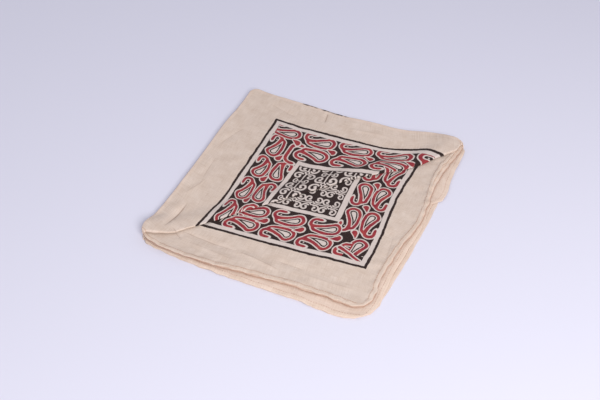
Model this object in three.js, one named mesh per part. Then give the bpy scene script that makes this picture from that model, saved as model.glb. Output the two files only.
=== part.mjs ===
// A cotton bandana folded in four and laid flat, with a diagonal pleat in its top layer.
// Millimetres, +Z up. The cloth is one hemmed sheet. Its first fold lies along the low X side and its second
// fold along the high Y side, and the other two sides are open. From the top down its four quarters are the
// top, the upper inner, the lower inner and the bottom layer.

import * as THREE from "three";

// Cloth
const CLOTH_THICKNESS = 1;
const LAYER_GAP = 0.35;
const LAYER_PITCH = CLOTH_THICKNESS + LAYER_GAP;

// Folds: how far apart two folded layers stand at the fold, how far it rounds out, and how soon they close up
const FIRST_FOLD = { opening: 2.2, roundOut: 1.3, closesOver: 15 };
const SECOND_FOLD = { opening: 2.2, roundOut: 1.3, closesOver: 17 };

// Outline of the bottom layer: its corners before they are rounded
const CORNERS = {
  left: { x: -118, y: -148, radius: 10 },
  near: { x: 140, y: -157, radius: 26 },
  right: { x: 146.5, y: 140, radius: 15 },
  far: { x: -134, y: 139, radius: 9 },
};

const SPAN_X = CORNERS.right.x - CORNERS.far.x;
const SPAN_Y = CORNERS.right.y - CORNERS.near.y;

// Sides of the outline. `at` runs from 0 to 1 along a side, and `out` is how far it stands outside a
// straight line.
const FIRST_FOLD_SIDE = smoothTable(
  ["at", "out"],
  [
    [0, 0],
    [0.06, 2],
    [0.2, 0],
    [0.42, -2.5],
    [0.65, -1],
    [0.83, 2],
    [1, 0],
  ],
);
const SECOND_FOLD_SIDE = smoothTable(
  ["at", "out"],
  [
    [0, 0],
    [0.12, -4],
    [0.25, -5],
    [0.47, -10],
    [0.72, -8],
    [0.87, 3.5],
    [1, 0],
  ],
);
const NEAR_LEFT_SIDE = smoothTable(
  ["at", "out"],
  [
    [0, 0],
    [0.1, 3],
    [0.3, 5.5],
    [0.5, 3],
    [0.7, 0.5],
    [0.85, 1],
    [1, 0],
  ],
);
const NEAR_RIGHT_SIDE = smoothTable(
  ["at", "out"],
  [
    [0, 0],
    [0.16, -2],
    [0.36, 0.5],
    [0.56, 1.5],
    [0.72, 0],
    [0.86, -1.5],
    [1, 0],
  ],
);

// How far each layer's hem lies inside the bottom layer's, along the two open sides
const NEAR_LEFT_HEMS = smoothTable(
  ["at", "top", "upperInner", "lowerInner"],
  [
    [0, 1, 0.5, 0],
    [0.15, 2.5, 1, 0.5],
    [0.3, 3, 1, 1.5],
    [0.5, 7, 4.5, 2.5],
    [0.7, 9.5, 7, 2.5],
    [0.85, 12, 9, 1.5],
    [1, 12, 9.5, 2],
  ],
);
const NEAR_RIGHT_HEMS = smoothTable(
  ["at", "top", "upperInner", "lowerInner"],
  [
    [0, 8, 6, 2],
    [0.14, 9, 7, 3],
    [0.25, 11.5, 9, 3.5],
    [0.35, 10, 8, 4],
    [0.47, 6.5, 4.5, 4.5],
    [0.6, 8, 5.5, 5],
    [0.68, 9.5, 7, -4],
    [0.76, 9.5, 7, -3.5],
    [0.88, 6, 5, -1.5],
    [1, 2, 2, 0],
  ],
);

// Pleat across the top layer, from the left corner to the right one. The far half laps over the near half.
// `toNear` moves its line off the diagonal, `depth` is how far it tucks under, `rise` the height of each
// turn, and `slip` how far the near half is drawn along it, away from the right corner.
const PLEAT = smoothTable(
  ["at", "toNear", "depth", "rise", "slip"],
  [
    [0, 14, 0.6, 1.35, 0],
    [0.06, 12, 3, 1.4, 0],
    [0.15, 12.5, 6, 1.4, 0],
    [0.35, 8, 6.5, 1.35, 0],
    [0.55, 8, 6.5, 1.35, 0],
    [0.7, 12.5, 6.5, 1.35, 1],
    [0.82, 22, 6, 1.4, 6],
    [0.9, 16, 5, 1.5, 12],
    [0.95, 14, 3, 1.6, 10],
    [1, 28, 0.6, 1.6, 0],
  ],
);
const PLEAT_FLAT = 9; // how far past its lip the flap stays level
const PLEAT_RAMP = 20; // and how far it then takes to come down
const PLEAT_HOLD = 10; // how close to a side the pleat stops moving the cloth

// Directions along the pleat, toward the right corner, and square to it, toward the far corner
const ALONG_PLEAT = cornerPoint(CORNERS.right).sub(cornerPoint(CORNERS.left)).normalize();
const TOWARD_FAR = new THREE.Vector2(-ALONG_PLEAT.y, ALONG_PLEAT.x);

// Soft puffs, centred at a share of the way along X and Y. One lifts the flap, the other the upper pair of
// layers.
const FLAP_PUFF = { alongX: 0.88, alongY: 0.93, reach: 0.09, height: 2 };
const CORNER_MOUTH = { alongX: 0, alongY: 0, reach: 0.09, height: 1 };

// Mesh steps
const QUARTER_STEPS = 20;
const BEND_STEPS = 5;
const TURN_STEPS = 4;
const EDGE_CROWDING = 0.35;

// A table with named columns becomes a function that gives a row at any place along it
function smoothTable(columns, rows) {
  const places = rows.map((row) => row[0]);
  const values = rows.flatMap((row) => row.slice(1));
  const curve = new THREE.CubicInterpolant(places, values, columns.length - 1);
  return (at) => {
    const row = curve.evaluate(at);
    return Object.fromEntries(columns.slice(1).map((name, column) => [name, row[column]]));
  };
}

// 1 at a fold's edge, falling softly to 0 further in
function nearness(distance, reach) {
  return Math.exp(-((distance / reach) ** 2));
}

function puffHeight(puff, alongX, alongY) {
  return puff.height * nearness(Math.hypot(alongX - puff.alongX, alongY - puff.alongY), puff.reach);
}

function cornerPoint(corner) {
  return new THREE.Vector2(corner.x, corner.y);
}

// A point on one side of the outline, between two corners
function sidePoint(start, end, side, at) {
  const from = cornerPoint(start);
  const to = cornerPoint(end);
  const along = to.clone().sub(from).normalize();
  const outward = new THREE.Vector2(along.y, -along.x);
  return from.lerp(to, at).addScaledVector(outward, side(at).out);
}

// The bottom layer's point at a share of the way along X and Y: a patch stretched between the four sides
function outlinePoint(alongX, alongY) {
  const nearLeft = sidePoint(CORNERS.left, CORNERS.near, NEAR_LEFT_SIDE, alongX);
  const nearRight = sidePoint(CORNERS.near, CORNERS.right, NEAR_RIGHT_SIDE, alongY);
  const secondFold = sidePoint(CORNERS.right, CORNERS.far, (at) => SECOND_FOLD_SIDE(1 - at), 1 - alongX);
  const firstFold = sidePoint(CORNERS.far, CORNERS.left, (at) => FIRST_FOLD_SIDE(1 - at), 1 - alongY);
  const acrossY = nearLeft.lerp(secondFold, alongY);
  const acrossX = firstFold.lerp(nearRight, alongX);
  const nearChord = cornerPoint(CORNERS.left).lerp(cornerPoint(CORNERS.near), alongX);
  const farChord = cornerPoint(CORNERS.far).lerp(cornerPoint(CORNERS.right), alongX);
  return acrossY.add(acrossX).sub(nearChord.lerp(farChord, alongY));
}

// Rounds a corner: a square of the radius's size is squeezed into a quarter disc
function roundCorner(point, corner, inwardX, inwardY) {
  const centreX = corner.x + inwardX * corner.radius;
  const centreY = corner.y + inwardY * corner.radius;
  const towardX = Math.min(1, (-inwardX * (point.x - centreX)) / corner.radius);
  const towardY = Math.min(1, (-inwardY * (point.y - centreY)) / corner.radius);
  if (towardX <= 0 || towardY <= 0) {
    return;
  }
  const squeezedX = towardX * (1 - Math.sqrt(1 - (towardY * towardY) / 2));
  const squeezedY = towardY * (1 - Math.sqrt(1 - (towardX * towardX) / 2));
  point.x += inwardX * corner.radius * squeezedX;
  point.y += inwardY * corner.radius * squeezedY;
}

// A station is a place along one direction of the cloth: `along` is its share of the way across the folded
// bandana, and `turn` how far the fold has turned there, from 0 on its upper side to half a circle below.
function quarterStations(turn) {
  return Array.from({ length: QUARTER_STEPS + 1 }, (_, step) => {
    const even = step / QUARTER_STEPS;
    const along = even - (EDGE_CROWDING * Math.sin(2 * Math.PI * even)) / (2 * Math.PI);
    return { along, turn };
  });
}

function bendStations(along) {
  return Array.from({ length: BEND_STEPS - 1 }, (_, step) => {
    return { along, turn: (Math.PI * (step + 1)) / BEND_STEPS };
  });
}

const COLUMNS = [
  ...quarterStations(Math.PI).reverse(),
  ...bendStations(0).reverse(),
  ...quarterStations(0),
];
const ROWS = [...quarterStations(0), ...bendStations(1), ...quarterStations(Math.PI).reverse()];
const FIRST_TOP_COLUMN = COLUMNS.length - QUARTER_STEPS - 1;

// How much of each layer a place belongs to: 1 on a layer, shared between two or four of them in a bend
function layerShares(column, row) {
  const upperSide = (1 + Math.cos(column.turn)) / 2;
  const upperPair = (1 + Math.cos(row.turn)) / 2;
  return {
    top: upperSide * upperPair,
    upperInner: (1 - upperSide) * upperPair,
    lowerInner: (1 - upperSide) * (1 - upperPair),
    upperPair,
  };
}

// How far apart two folded layers stand, at a distance in from their fold's edge
function foldOpening(fold, distance) {
  return LAYER_PITCH + (fold.opening - LAYER_PITCH) * nearness(distance, fold.closesOver);
}

// 1 inside a quarter, falling to 0 at each of its four sides
function awayFromSides(column, row) {
  const distances = [
    column.along * SPAN_X,
    (1 - column.along) * SPAN_X,
    row.along * SPAN_Y,
    (1 - row.along) * SPAN_Y,
  ];
  return distances.reduce((share, distance) => share * (1 - nearness(distance, PLEAT_HOLD)), 1);
}

// The place of a column and a row seen from above
function planPoint(column, row, inNearHalf) {
  const shares = layerShares(column, row);
  const place = outlinePoint(column.along, row.along);
  roundCorner(place, CORNERS.left, 1, 1);
  roundCorner(place, CORNERS.near, -1, 1);
  roundCorner(place, CORNERS.right, -1, -1);
  roundCorner(place, CORNERS.far, 1, -1);
  const drawnIn = (hem) =>
    shares.top * hem.top + shares.upperInner * hem.upperInner + shares.lowerInner * hem.lowerInner;
  place.y += drawnIn(NEAR_LEFT_HEMS(column.along)) * (1 - row.along);
  place.x -= drawnIn(NEAR_RIGHT_HEMS(row.along)) * column.along;
  const offDiagonal = Math.abs(row.along - column.along);
  const { toNear, slip } = PLEAT((column.along + row.along) / 2);
  const pull = shares.top * (1 - offDiagonal) ** 2;
  place.addScaledVector(TOWARD_FAR, -toNear * pull * awayFromSides(column, row));
  return place.addScaledVector(ALONG_PLEAT, inNearHalf ? -slip * pull : 0);
}

// The middle of the cloth's thickness at a column and a row, without the pleat's lift
function clothPoint(column, row, inNearHalf) {
  const place = planPoint(column, row, inNearHalf);
  const firstOpening = foldOpening(FIRST_FOLD, column.along * SPAN_X);
  const pairOpening = foldOpening(SECOND_FOLD, (1 - row.along) * SPAN_Y);
  const pairMiddle = (firstOpening + pairOpening) / 2;
  const fromMiddle = pairMiddle + (Math.cos(column.turn) * firstOpening) / 2;
  const roundOut = (SECOND_FOLD.roundOut * fromMiddle * 2) / pairOpening;
  const mouth = puffHeight(CORNER_MOUTH, column.along, row.along) * layerShares(column, row).upperPair;
  const middle = CLOTH_THICKNESS / 2 + pairMiddle + firstOpening / 2;
  return new THREE.Vector3(
    place.x - FIRST_FOLD.roundOut * Math.sin(column.turn),
    place.y + roundOut * Math.sin(row.turn),
    middle + Math.cos(row.turn) * fromMiddle + mouth,
  );
}

// The same with the pleat's lift, where the far half of the top layer laps over the near half
function liftedPoint(column, row) {
  const past = ((row.along - column.along) * SPAN_Y) / Math.SQRT2;
  const inNearHalf = past < 0;
  const point = clothPoint(column, row, inNearHalf);
  if (!inNearHalf) {
    const lapped = 1 - THREE.MathUtils.smoothstep(past, PLEAT_FLAT, PLEAT_FLAT + PLEAT_RAMP);
    const { rise } = PLEAT((column.along + row.along) / 2);
    const lift = 2 * rise * lapped + puffHeight(FLAP_PUFF, column.along, row.along);
    point.z += lift * layerShares(column, row).top;
  }
  return point;
}

// The pleat's section at one step along it: round the lip, back under the flap and out again to the near half
function pleatSection(column, row) {
  const base = clothPoint(column, row, true);
  const flap = clothPoint(column, row, false);
  const puff = puffHeight(FLAP_PUFF, column.along, row.along);
  const { depth, rise } = PLEAT(column.along);
  const radius = rise / 2;
  const at = (inward, height) =>
    flap.clone().add(new THREE.Vector3(inward * TOWARD_FAR.x, inward * TOWARD_FAR.y, height));
  const turns = Array.from({ length: TURN_STEPS + 1 }, (_, step) => (Math.PI * step) / TURN_STEPS);
  const lip = turns.map((turn) => {
    const raised = (puff * (1 + Math.cos(turn))) / 2;
    return at(-radius * Math.sin(turn), 3 * radius + radius * Math.cos(turn) + raised);
  });
  const tuck = turns.map((turn) => at(depth + radius * Math.sin(turn), radius + radius * Math.cos(turn)));
  return [...lip.slice(1), ...tuck, base];
}

// The cloth's middle surface: a grid over all four quarters, opened along the top layer's diagonal for its
// pleat
function clothSurface() {
  const points = COLUMNS.flatMap((column) => ROWS.map((row) => liftedPoint(column, row)));
  const gridIndex = (column, row) => column * ROWS.length + row;
  const pleatRows = Array.from({ length: QUARTER_STEPS + 1 }, (_, step) => {
    const lip = gridIndex(FIRST_TOP_COLUMN + step, step);
    const section = pleatSection(COLUMNS[FIRST_TOP_COLUMN + step], ROWS[step]);
    return [lip, ...section.map((point) => points.push(point) - 1)];
  });
  const onDiagonal = (column, row) => column >= FIRST_TOP_COLUMN && column - FIRST_TOP_COLUMN === row;
  const nearHalfIndex = (column, row) =>
    onDiagonal(column, row) ? pleatRows[row].at(-1) : gridIndex(column, row);

  const triangles = [];
  for (let column = 0; column < COLUMNS.length - 1; column += 1) {
    for (let row = 0; row < ROWS.length - 1; row += 1) {
      const inNearHalf = column - FIRST_TOP_COLUMN > row;
      const index = inNearHalf ? nearHalfIndex : gridIndex;
      const nextIndex = onDiagonal(column, row) ? nearHalfIndex : index;
      triangles.push([index(column, row), index(column + 1, row + 1), index(column, row + 1)]);
      triangles.push([nextIndex(column, row), nextIndex(column + 1, row), nextIndex(column + 1, row + 1)]);
    }
  }
  for (let step = 0; step < QUARTER_STEPS; step += 1) {
    const [here, next] = [pleatRows[step], pleatRows[step + 1]];
    for (let turn = 0; turn < here.length - 1; turn += 1) {
      triangles.push([here[turn], here[turn + 1], next[turn + 1]]);
      triangles.push([here[turn], next[turn + 1], next[turn]]);
    }
  }
  return { points, triangles };
}

// Each point's normal, from the triangles that meet there
function surfaceNormals({ points, triangles }) {
  const normals = points.map(() => new THREE.Vector3());
  for (const triangle of triangles) {
    const [a, b, c] = triangle.map((index) => points[index]);
    const face = b.clone().sub(a).cross(c.clone().sub(a));
    triangle.forEach((index) => normals[index].add(face));
  }
  return normals.map((normal) => normal.normalize());
}

// Edges that only one triangle has, in that triangle's direction: the cloth's rim
function rimEdges({ triangles }) {
  const edges = new Map();
  for (const [a, b, c] of triangles) {
    for (const [start, end] of [[a, b], [b, c], [c, a]]) {
      if (!edges.delete(`${end} ${start}`)) {
        edges.set(`${start} ${end}`, [start, end]);
      }
    }
  }
  return [...edges.values()];
}

// A closed sheet of even thickness around a surface
function thickSheet(surface, thickness) {
  const { points, triangles } = surface;
  const normals = surfaceNormals(surface);
  const skin = (offset) =>
    points.map((point, index) => point.clone().addScaledVector(normals[index], offset));
  const corners = [...skin(thickness / 2), ...skin(-thickness / 2)];
  const below = (index) => index + points.length;
  const faces = [
    ...triangles,
    ...triangles.map(([a, b, c]) => [below(a), below(c), below(b)]),
    ...rimEdges(surface).flatMap(([start, end]) => [
      [start, below(start), below(end)],
      [start, below(end), end],
    ]),
  ];
  const geometry = new THREE.BufferGeometry().setFromPoints(corners);
  geometry.setIndex(faces.flat());
  return geometry;
}

// Puts the origin at the middle of the footprint, on the surface that the cloth lies on
function restAtOrigin(geometry) {
  geometry.computeBoundingBox();
  const centre = geometry.boundingBox.getCenter(new THREE.Vector3());
  return geometry.translate(-centre.x, -centre.y, -geometry.boundingBox.min.z);
}

const cotton = new THREE.MeshStandardMaterial({ color: 0xdcc6b4, roughness: 0.95, metalness: 0 });

function buildBandana() {
  const geometry = restAtOrigin(thickSheet(clothSurface(), CLOTH_THICKNESS));
  geometry.computeVertexNormals();
  const mesh = new THREE.Mesh(geometry, cotton);
  mesh.name = "bandana";
  return mesh;
}

const foldedBandana = new THREE.Group();
foldedBandana.add(buildBandana());

export default foldedBandana;
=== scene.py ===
"""Looks of a cotton bandana folded in four and laid flat, with a diagonal pleat in its top layer.

The cloth is one hemmed sheet. Its shape is worked out in millimetres, in plan and in height, and goes into
the frame's metres only when its mesh is made. From the top down its four quarters are the top, the upper
inner, the lower inner and the bottom layer.
"""

import logging
import math
from dataclasses import dataclass, field
from enum import Enum

import bpy
import numpy as np
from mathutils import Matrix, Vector

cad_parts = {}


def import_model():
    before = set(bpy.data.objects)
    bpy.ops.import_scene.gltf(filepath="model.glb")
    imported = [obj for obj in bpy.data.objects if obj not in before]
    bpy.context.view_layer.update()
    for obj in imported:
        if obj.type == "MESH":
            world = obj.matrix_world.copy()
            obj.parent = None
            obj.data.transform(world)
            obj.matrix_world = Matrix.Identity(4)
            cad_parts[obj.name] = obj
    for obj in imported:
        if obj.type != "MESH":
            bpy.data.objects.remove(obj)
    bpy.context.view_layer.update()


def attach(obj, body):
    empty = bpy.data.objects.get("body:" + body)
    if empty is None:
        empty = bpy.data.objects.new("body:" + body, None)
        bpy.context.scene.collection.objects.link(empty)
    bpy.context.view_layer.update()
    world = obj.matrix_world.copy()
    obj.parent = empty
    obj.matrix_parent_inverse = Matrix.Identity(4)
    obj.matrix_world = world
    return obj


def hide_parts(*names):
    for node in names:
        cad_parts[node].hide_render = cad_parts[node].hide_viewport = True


LOG = logging.getLogger("bandana")
MM = 0.001
CAD_NODE = "bandana"
BODY = "root"

PRINT_MAP = "print"
CLOTH_MAP = "cloth"
HEM_DISTANCE = "hem_distance"
PRINTED_SIDE = "printed_side"
TOP_SHARE = "top_share"
EDGE_INK = "edge_ink"
PLAN_MAP = "plan"
UPPER_INNER_SHARE = "upper_inner_share"

# Width of the doubled hem, and how far in from the edge its stitches lie, in millimetres
HEM_WIDTH = 5.4
STITCH_LINE = 4.8

Pair = tuple[float, float]
Colour = tuple[float, float, float, float]
Socket = bpy.types.NodeSocket


def linear(red: float, green: float, blue: float, alpha: float = 1.0) -> Colour:
    """Gives a screen colour as the linear one that a shader takes.

    Args:
        red: Red from 0 to 255.
        green: Green from 0 to 255.
        blue: Blue from 0 to 255.
        alpha: How much of it covers what lies below, from 0 to 1.

    Returns:
        Linear red, green and blue, and alpha.
    """
    parts = [channel / 255 for channel in (red, green, blue)]
    bent = [part / 12.92 if part <= 0.04045 else ((part + 0.055) / 1.055) ** 2.4 for part in parts]
    return (bent[0], bent[1], bent[2], alpha)


def smoothstep(value: np.ndarray, start: float, end: float) -> np.ndarray:
    """Rises softly from 0 at start to 1 at end.

    Args:
        value: Where to read it.
        start: Where it leaves 0.
        end: Where it reaches 1.

    Returns:
        The share, from 0 to 1.
    """
    share = np.clip((value - start) / (end - start), 0, 1)
    return share * share * (3 - 2 * share)


def nearness(distance: np.ndarray, reach: float) -> np.ndarray:
    """1 at no distance, falling softly to 0 a few reaches away."""
    return np.exp(-((distance / reach) ** 2))


def placed(name: str, data: bpy.types.ID) -> bpy.types.Object:
    """Makes an object and puts it in the scene.

    Args:
        name: Its name.
        data: Its mesh, light or camera.

    Returns:
        The object.
    """
    piece = bpy.data.objects.new(name, data)
    bpy.context.scene.collection.objects.link(piece)
    return piece


def new_material(name: str, values: dict[str, Colour | float]) -> bpy.types.Material:
    """Makes a material.

    Args:
        name: Its name.
        values: Its shader's inputs, by name.

    Returns:
        The material.
    """
    material = bpy.data.materials.new(name)
    material.use_nodes = True
    inputs = material.node_tree.nodes["Principled BSDF"].inputs
    for slot, value in values.items():
        inputs[slot].default_value = value
    return material


class Layer(Enum):
    """The four layers of the folded cloth, and the upper two taken together."""

    TOP = "top"
    UPPER_INNER = "upper_inner"
    LOWER_INNER = "lower_inner"
    BOTTOM = "bottom"
    UPPER_PAIR = "upper_pair"


@dataclass(frozen=True)
class SmoothTable:
    """Rows of a place and its values, joined by a smooth curve.

    Attributes:
        rows: Each row is a place from 0 to 1 and the values there.
    """

    rows: tuple[tuple[float, ...], ...]

    def at(self, place: np.ndarray) -> np.ndarray:
        """Reads the curve.

        Args:
            place: Places from 0 to 1, in any shape.

        Returns:
            The values, with one more axis at the end, one entry a column.
        """
        table = np.array(self.rows, float)
        places, values = table[:, 0], table[:, 1:]
        last = len(places) - 1
        place = np.clip(np.asarray(place, float), places[0], places[-1])
        after = np.clip(np.searchsorted(places, place, side="right"), 1, last)
        before = after - 1
        start, end = places[before], places[after]
        has_previous, has_next = before > 0, after < last
        previous = np.where(has_previous, before - 1, after)
        following = np.where(has_next, np.minimum(after + 1, last), before)
        half = (end - start) / 2
        lean_in = half / (start - np.where(has_previous, places[previous], end))
        lean_out = half / (np.where(has_next, places[following], start) - end)
        share = (place - start) / (end - start)
        square, cube = share**2, share**3
        weights = (
            -lean_in * cube + 2 * lean_in * square - lean_in * share,
            (1 + lean_in) * cube + (-1.5 - 2 * lean_in) * square + (-0.5 + lean_in) * share + 1,
            (-1 - lean_out) * cube + (1.5 + lean_out) * square + 0.5 * share,
            lean_out * cube - lean_out * square,
        )
        picked = (previous, before, after, following)
        return sum(weight[..., None] * values[index] for weight, index in zip(weights, picked))


@dataclass(frozen=True)
class Ripple:
    """An uneven, smooth wave over a plane, always the same for the same seed.

    Attributes:
        shortest: Its shortest wavelength.
        longest: Its longest wavelength.
        seed: Which of all such waves it is.
        waves: How many plain waves it adds up.
    """

    shortest: float
    longest: float
    seed: int
    waves: int = 20

    def at(self, across: np.ndarray, along: np.ndarray) -> np.ndarray:
        """Reads the wave, which mostly stays between -1 and 1.

        Args:
            across: First coordinate.
            along: Second coordinate.

        Returns:
            The wave's height there.
        """
        draw = np.random.default_rng(self.seed)
        total = np.zeros(np.broadcast(across, along).shape)
        for _ in range(self.waves):
            length = self.shortest * (self.longest / self.shortest) ** draw.random()
            heading, phase = draw.random(2) * 2 * math.pi
            total += np.sin(
                2 * math.pi * (across * math.cos(heading) + along * math.sin(heading)) / length + phase
            )
        return total / math.sqrt(self.waves)


@dataclass(frozen=True)
class Fold:
    """A fold between two layers.

    Attributes:
        opening: How far apart the two layers' middles stand at the fold.
        round_out: How far the fold rounds out past the layers' edge.
        closes_over: How soon the layers close up, going in from the fold.
    """

    opening: float
    round_out: float
    closes_over: float


@dataclass(frozen=True)
class Corner:
    """A corner of the bottom layer, before it is rounded."""

    x: float
    y: float
    radius: float
    inward_x: int
    inward_y: int

    @property
    def place(self) -> np.ndarray:
        """The corner's point."""
        return np.array([self.x, self.y])


@dataclass(frozen=True)
class Puff:
    """A soft lift, centred at a share of the way along X and Y."""

    along_x: float
    along_y: float
    reach: float
    height: float

    def at(self, along_x: np.ndarray, along_y: np.ndarray) -> np.ndarray:
        """The lift's height at a share of the way along X and Y."""
        return self.height * nearness(np.hypot(along_x - self.along_x, along_y - self.along_y), self.reach)


@dataclass(frozen=True)
class Crease:
    """A soft ridge or trough in the top layer.

    Attributes:
        start: Its first end, in plan.
        end: Its other end, in plan.
        width: How far it spreads to each side.
        height: How high it stands, or below 0 how deep it goes.
        bow: How far its middle bends to its left side.
        sharp: From 0 for a round one to 1 for a folded edge with one steep side.
        line: How dark the fold in the threads shows along it, from 0 to 1.
    """

    start: Pair
    end: Pair
    width: float
    height: float
    bow: float = 0.0
    sharp: float = 0.0
    line: float = 0.15

    def drawn(self, x: "Field", y: "Field") -> "Field":
        """How much its line of painted shade shows in the material.

        Args:
            x: Plan X.
            y: Plan Y.

        Returns:
            The share, from 0 to 1.
        """
        run = (self.end[0] - self.start[0], self.end[1] - self.start[1])
        length = math.hypot(*run)
        unit = (run[0] / length, run[1] / length)
        from_x, from_y = x - self.start[0], y - self.start[1]
        share = from_x * (unit[0] / length) + from_y * (unit[1] / length)
        half = (share * 2.0 - 1.0).most(-1.0).least(1.0)
        side = from_y * unit[0] - from_x * unit[1] - (1.0 - half * half) * self.bow
        ends = ((1.0 - abs(share * 2.0 - 1.0)) * 2.5).share()
        return (1.15 - abs(side) * 1.15).share() * ends * self.line

    def at(self, x: np.ndarray, y: np.ndarray) -> np.ndarray:
        """Its height over the plan.

        Args:
            x: Plan X.
            y: Plan Y.

        Returns:
            Height in millimetres.
        """
        run = np.array(self.end) - np.array(self.start)
        length = float(np.hypot(*run))
        unit = run / length
        from_x, from_y = x - self.start[0], y - self.start[1]
        share = (from_x * unit[0] + from_y * unit[1]) / length
        side = -from_x * unit[1] + from_y * unit[0]
        side = side - self.bow * (1 - (2 * np.clip(share, 0, 1) - 1) ** 2)
        ends = smoothstep(share, -0.12, 0.3) * (1 - smoothstep(share, 0.7, 1.12))
        width = self.width * (1 - 0.55 * self.sharp * (side > 0))
        return self.height * ends * np.exp(-((side / width) ** 2))


@dataclass(frozen=True)
class Stations:
    """Places along one direction of the cloth.

    Attributes:
        along: Share of the way across the folded bandana at each place.
        turn: How far the fold has turned there, from 0 on its upper side to half a circle below.
    """

    along: np.ndarray
    turn: np.ndarray


@dataclass
class Seam:
    """The line of a hem's stitches, between two lines of the surface's points.

    Attributes:
        first: Indices of the points on its outer side.
        second: Indices of the points on its inner side.
        share: How far it lies from the first toward the second.
        clear: True where stitches go.
    """

    first: np.ndarray
    second: np.ndarray
    share: float
    clear: np.ndarray


@dataclass
class Surface:
    """The cloth's middle surface, with what each point carries.

    Attributes:
        points: Places in millimetres.
        faces: Corners of each face, counter-clockwise from the printed side; a triangle repeats its last.
        carried: Values at each point, by name.
        seams: The four hems' stitch lines.
    """

    points: np.ndarray
    faces: np.ndarray
    carried: dict[str, np.ndarray]
    seams: list[Seam]

    def normals(self) -> np.ndarray:
        """Each point's normal, from the faces that meet there.

        Returns:
            Unit vectors.
        """
        a, b, c, d = (self.points[self.faces[:, corner]] for corner in range(4))
        across = np.cross(c - a, d - b)
        total = np.zeros_like(self.points)
        for corner in range(4):
            np.add.at(total, self.faces[:, corner], across)
        return total / np.maximum(np.linalg.norm(total, axis=1, keepdims=True), 1e-12)

    def rim(self) -> np.ndarray:
        """Edges that only one face has, in that face's direction.

        Returns:
            Both ends' indices, one row an edge.
        """
        following = np.roll(self.faces, -1, axis=1)
        edges = np.stack([self.faces, following], axis=-1).reshape(-1, 2)
        edges = edges[edges[:, 0] != edges[:, 1]]
        ordered = np.sort(edges, axis=1)
        keys = ordered[:, 0].astype(np.int64) * len(self.points) + ordered[:, 1]
        _, inverse, counts = np.unique(keys, return_inverse=True, return_counts=True)
        return edges[counts[inverse] == 1]


@dataclass(frozen=True)
class PrintLay:
    """Where the block print lies on half of the top layer.

    The print was stamped straight, and the cloth has since been pulled askew, so that a few places on its
    frame lines are enough to lay it: each row is a plan place and the print's own place, from its centre.
    """

    pairs: tuple[tuple[float, float, float, float], ...]
    slack: float = 4.0

    @staticmethod
    def _bend(distance: np.ndarray) -> np.ndarray:
        """The thin plate's bending kernel."""
        return distance**2 * np.log(np.maximum(distance, 1e-9))

    def at(self, x: np.ndarray, y: np.ndarray) -> np.ndarray:
        """The print's own place at each plan place.

        Args:
            x: Plan X.
            y: Plan Y.

        Returns:
            The print's X and Y, from its centre, on a last axis.
        """
        rows = np.array(self.pairs, float)
        count = len(rows)
        gaps = rows[:, None, :2] - rows[None, :, :2]
        system = np.zeros((count + 3, count + 3))
        system[:count, :count] = self._bend(np.hypot(gaps[..., 0], gaps[..., 1]))
        system[:count, :count] += np.eye(count) * self.slack * 100
        system[:count, count:] = np.column_stack([np.ones(count), rows[:, :2]])
        system[count:, :count] = system[:count, count:].T
        goal = np.vstack([rows[:, 2:], np.zeros((3, 2))])
        answer = np.linalg.solve(system, goal)
        laid = answer[count] + x[..., None] * answer[count + 1] + y[..., None] * answer[count + 2]
        for row, pull in zip(rows, answer):
            laid = laid + self._bend(np.hypot(x - row[0], y - row[1]))[..., None] * pull
        return laid


FAR_HALF_PRINT = PrintLay(
    (
        (-79.3, 93.5, -100, 100),
        (-47.6, 92.5, -68, 100),
        (4.4, 92.2, -16, 100),
        (54.1, 93.8, 33.5, 100),
        (77.2, 98.1, 57, 100),
        (89.9, 103.9, 71, 100),
        (103.5, 111.4, 81.5, 100),
        (113.3, 109.0, 88.5, 100),
        (123.2, 103.5, 94.5, 100),
        (-75, 20, -100, 26),
        (-69.7, -58.5, -100, -52),
        (-71.5, -108.2, -99, -96),
        (-23.5, 31.2, -48, 48),
        (-26.3, -53, -48, -36),
        (72.4, 51.3, 50, 48),
    )
)
NEAR_HALF_PRINT = PrintLay(
    (
        (109.4, -95.2, 100, -100),
        (40.6, -101.1, 31, -100),
        (-25.6, -105.6, -35.5, -100),
        (-71.5, -108.2, -81, -100),
        (102.8, 13, 100, 8.5),
        (105.2, 83.9, 100, 79),
        (60, -44.9, 48, -48),
        (-26.3, -53, -39, -48),
        (51.9, 21, 45, 18.5),
    )
)


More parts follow.
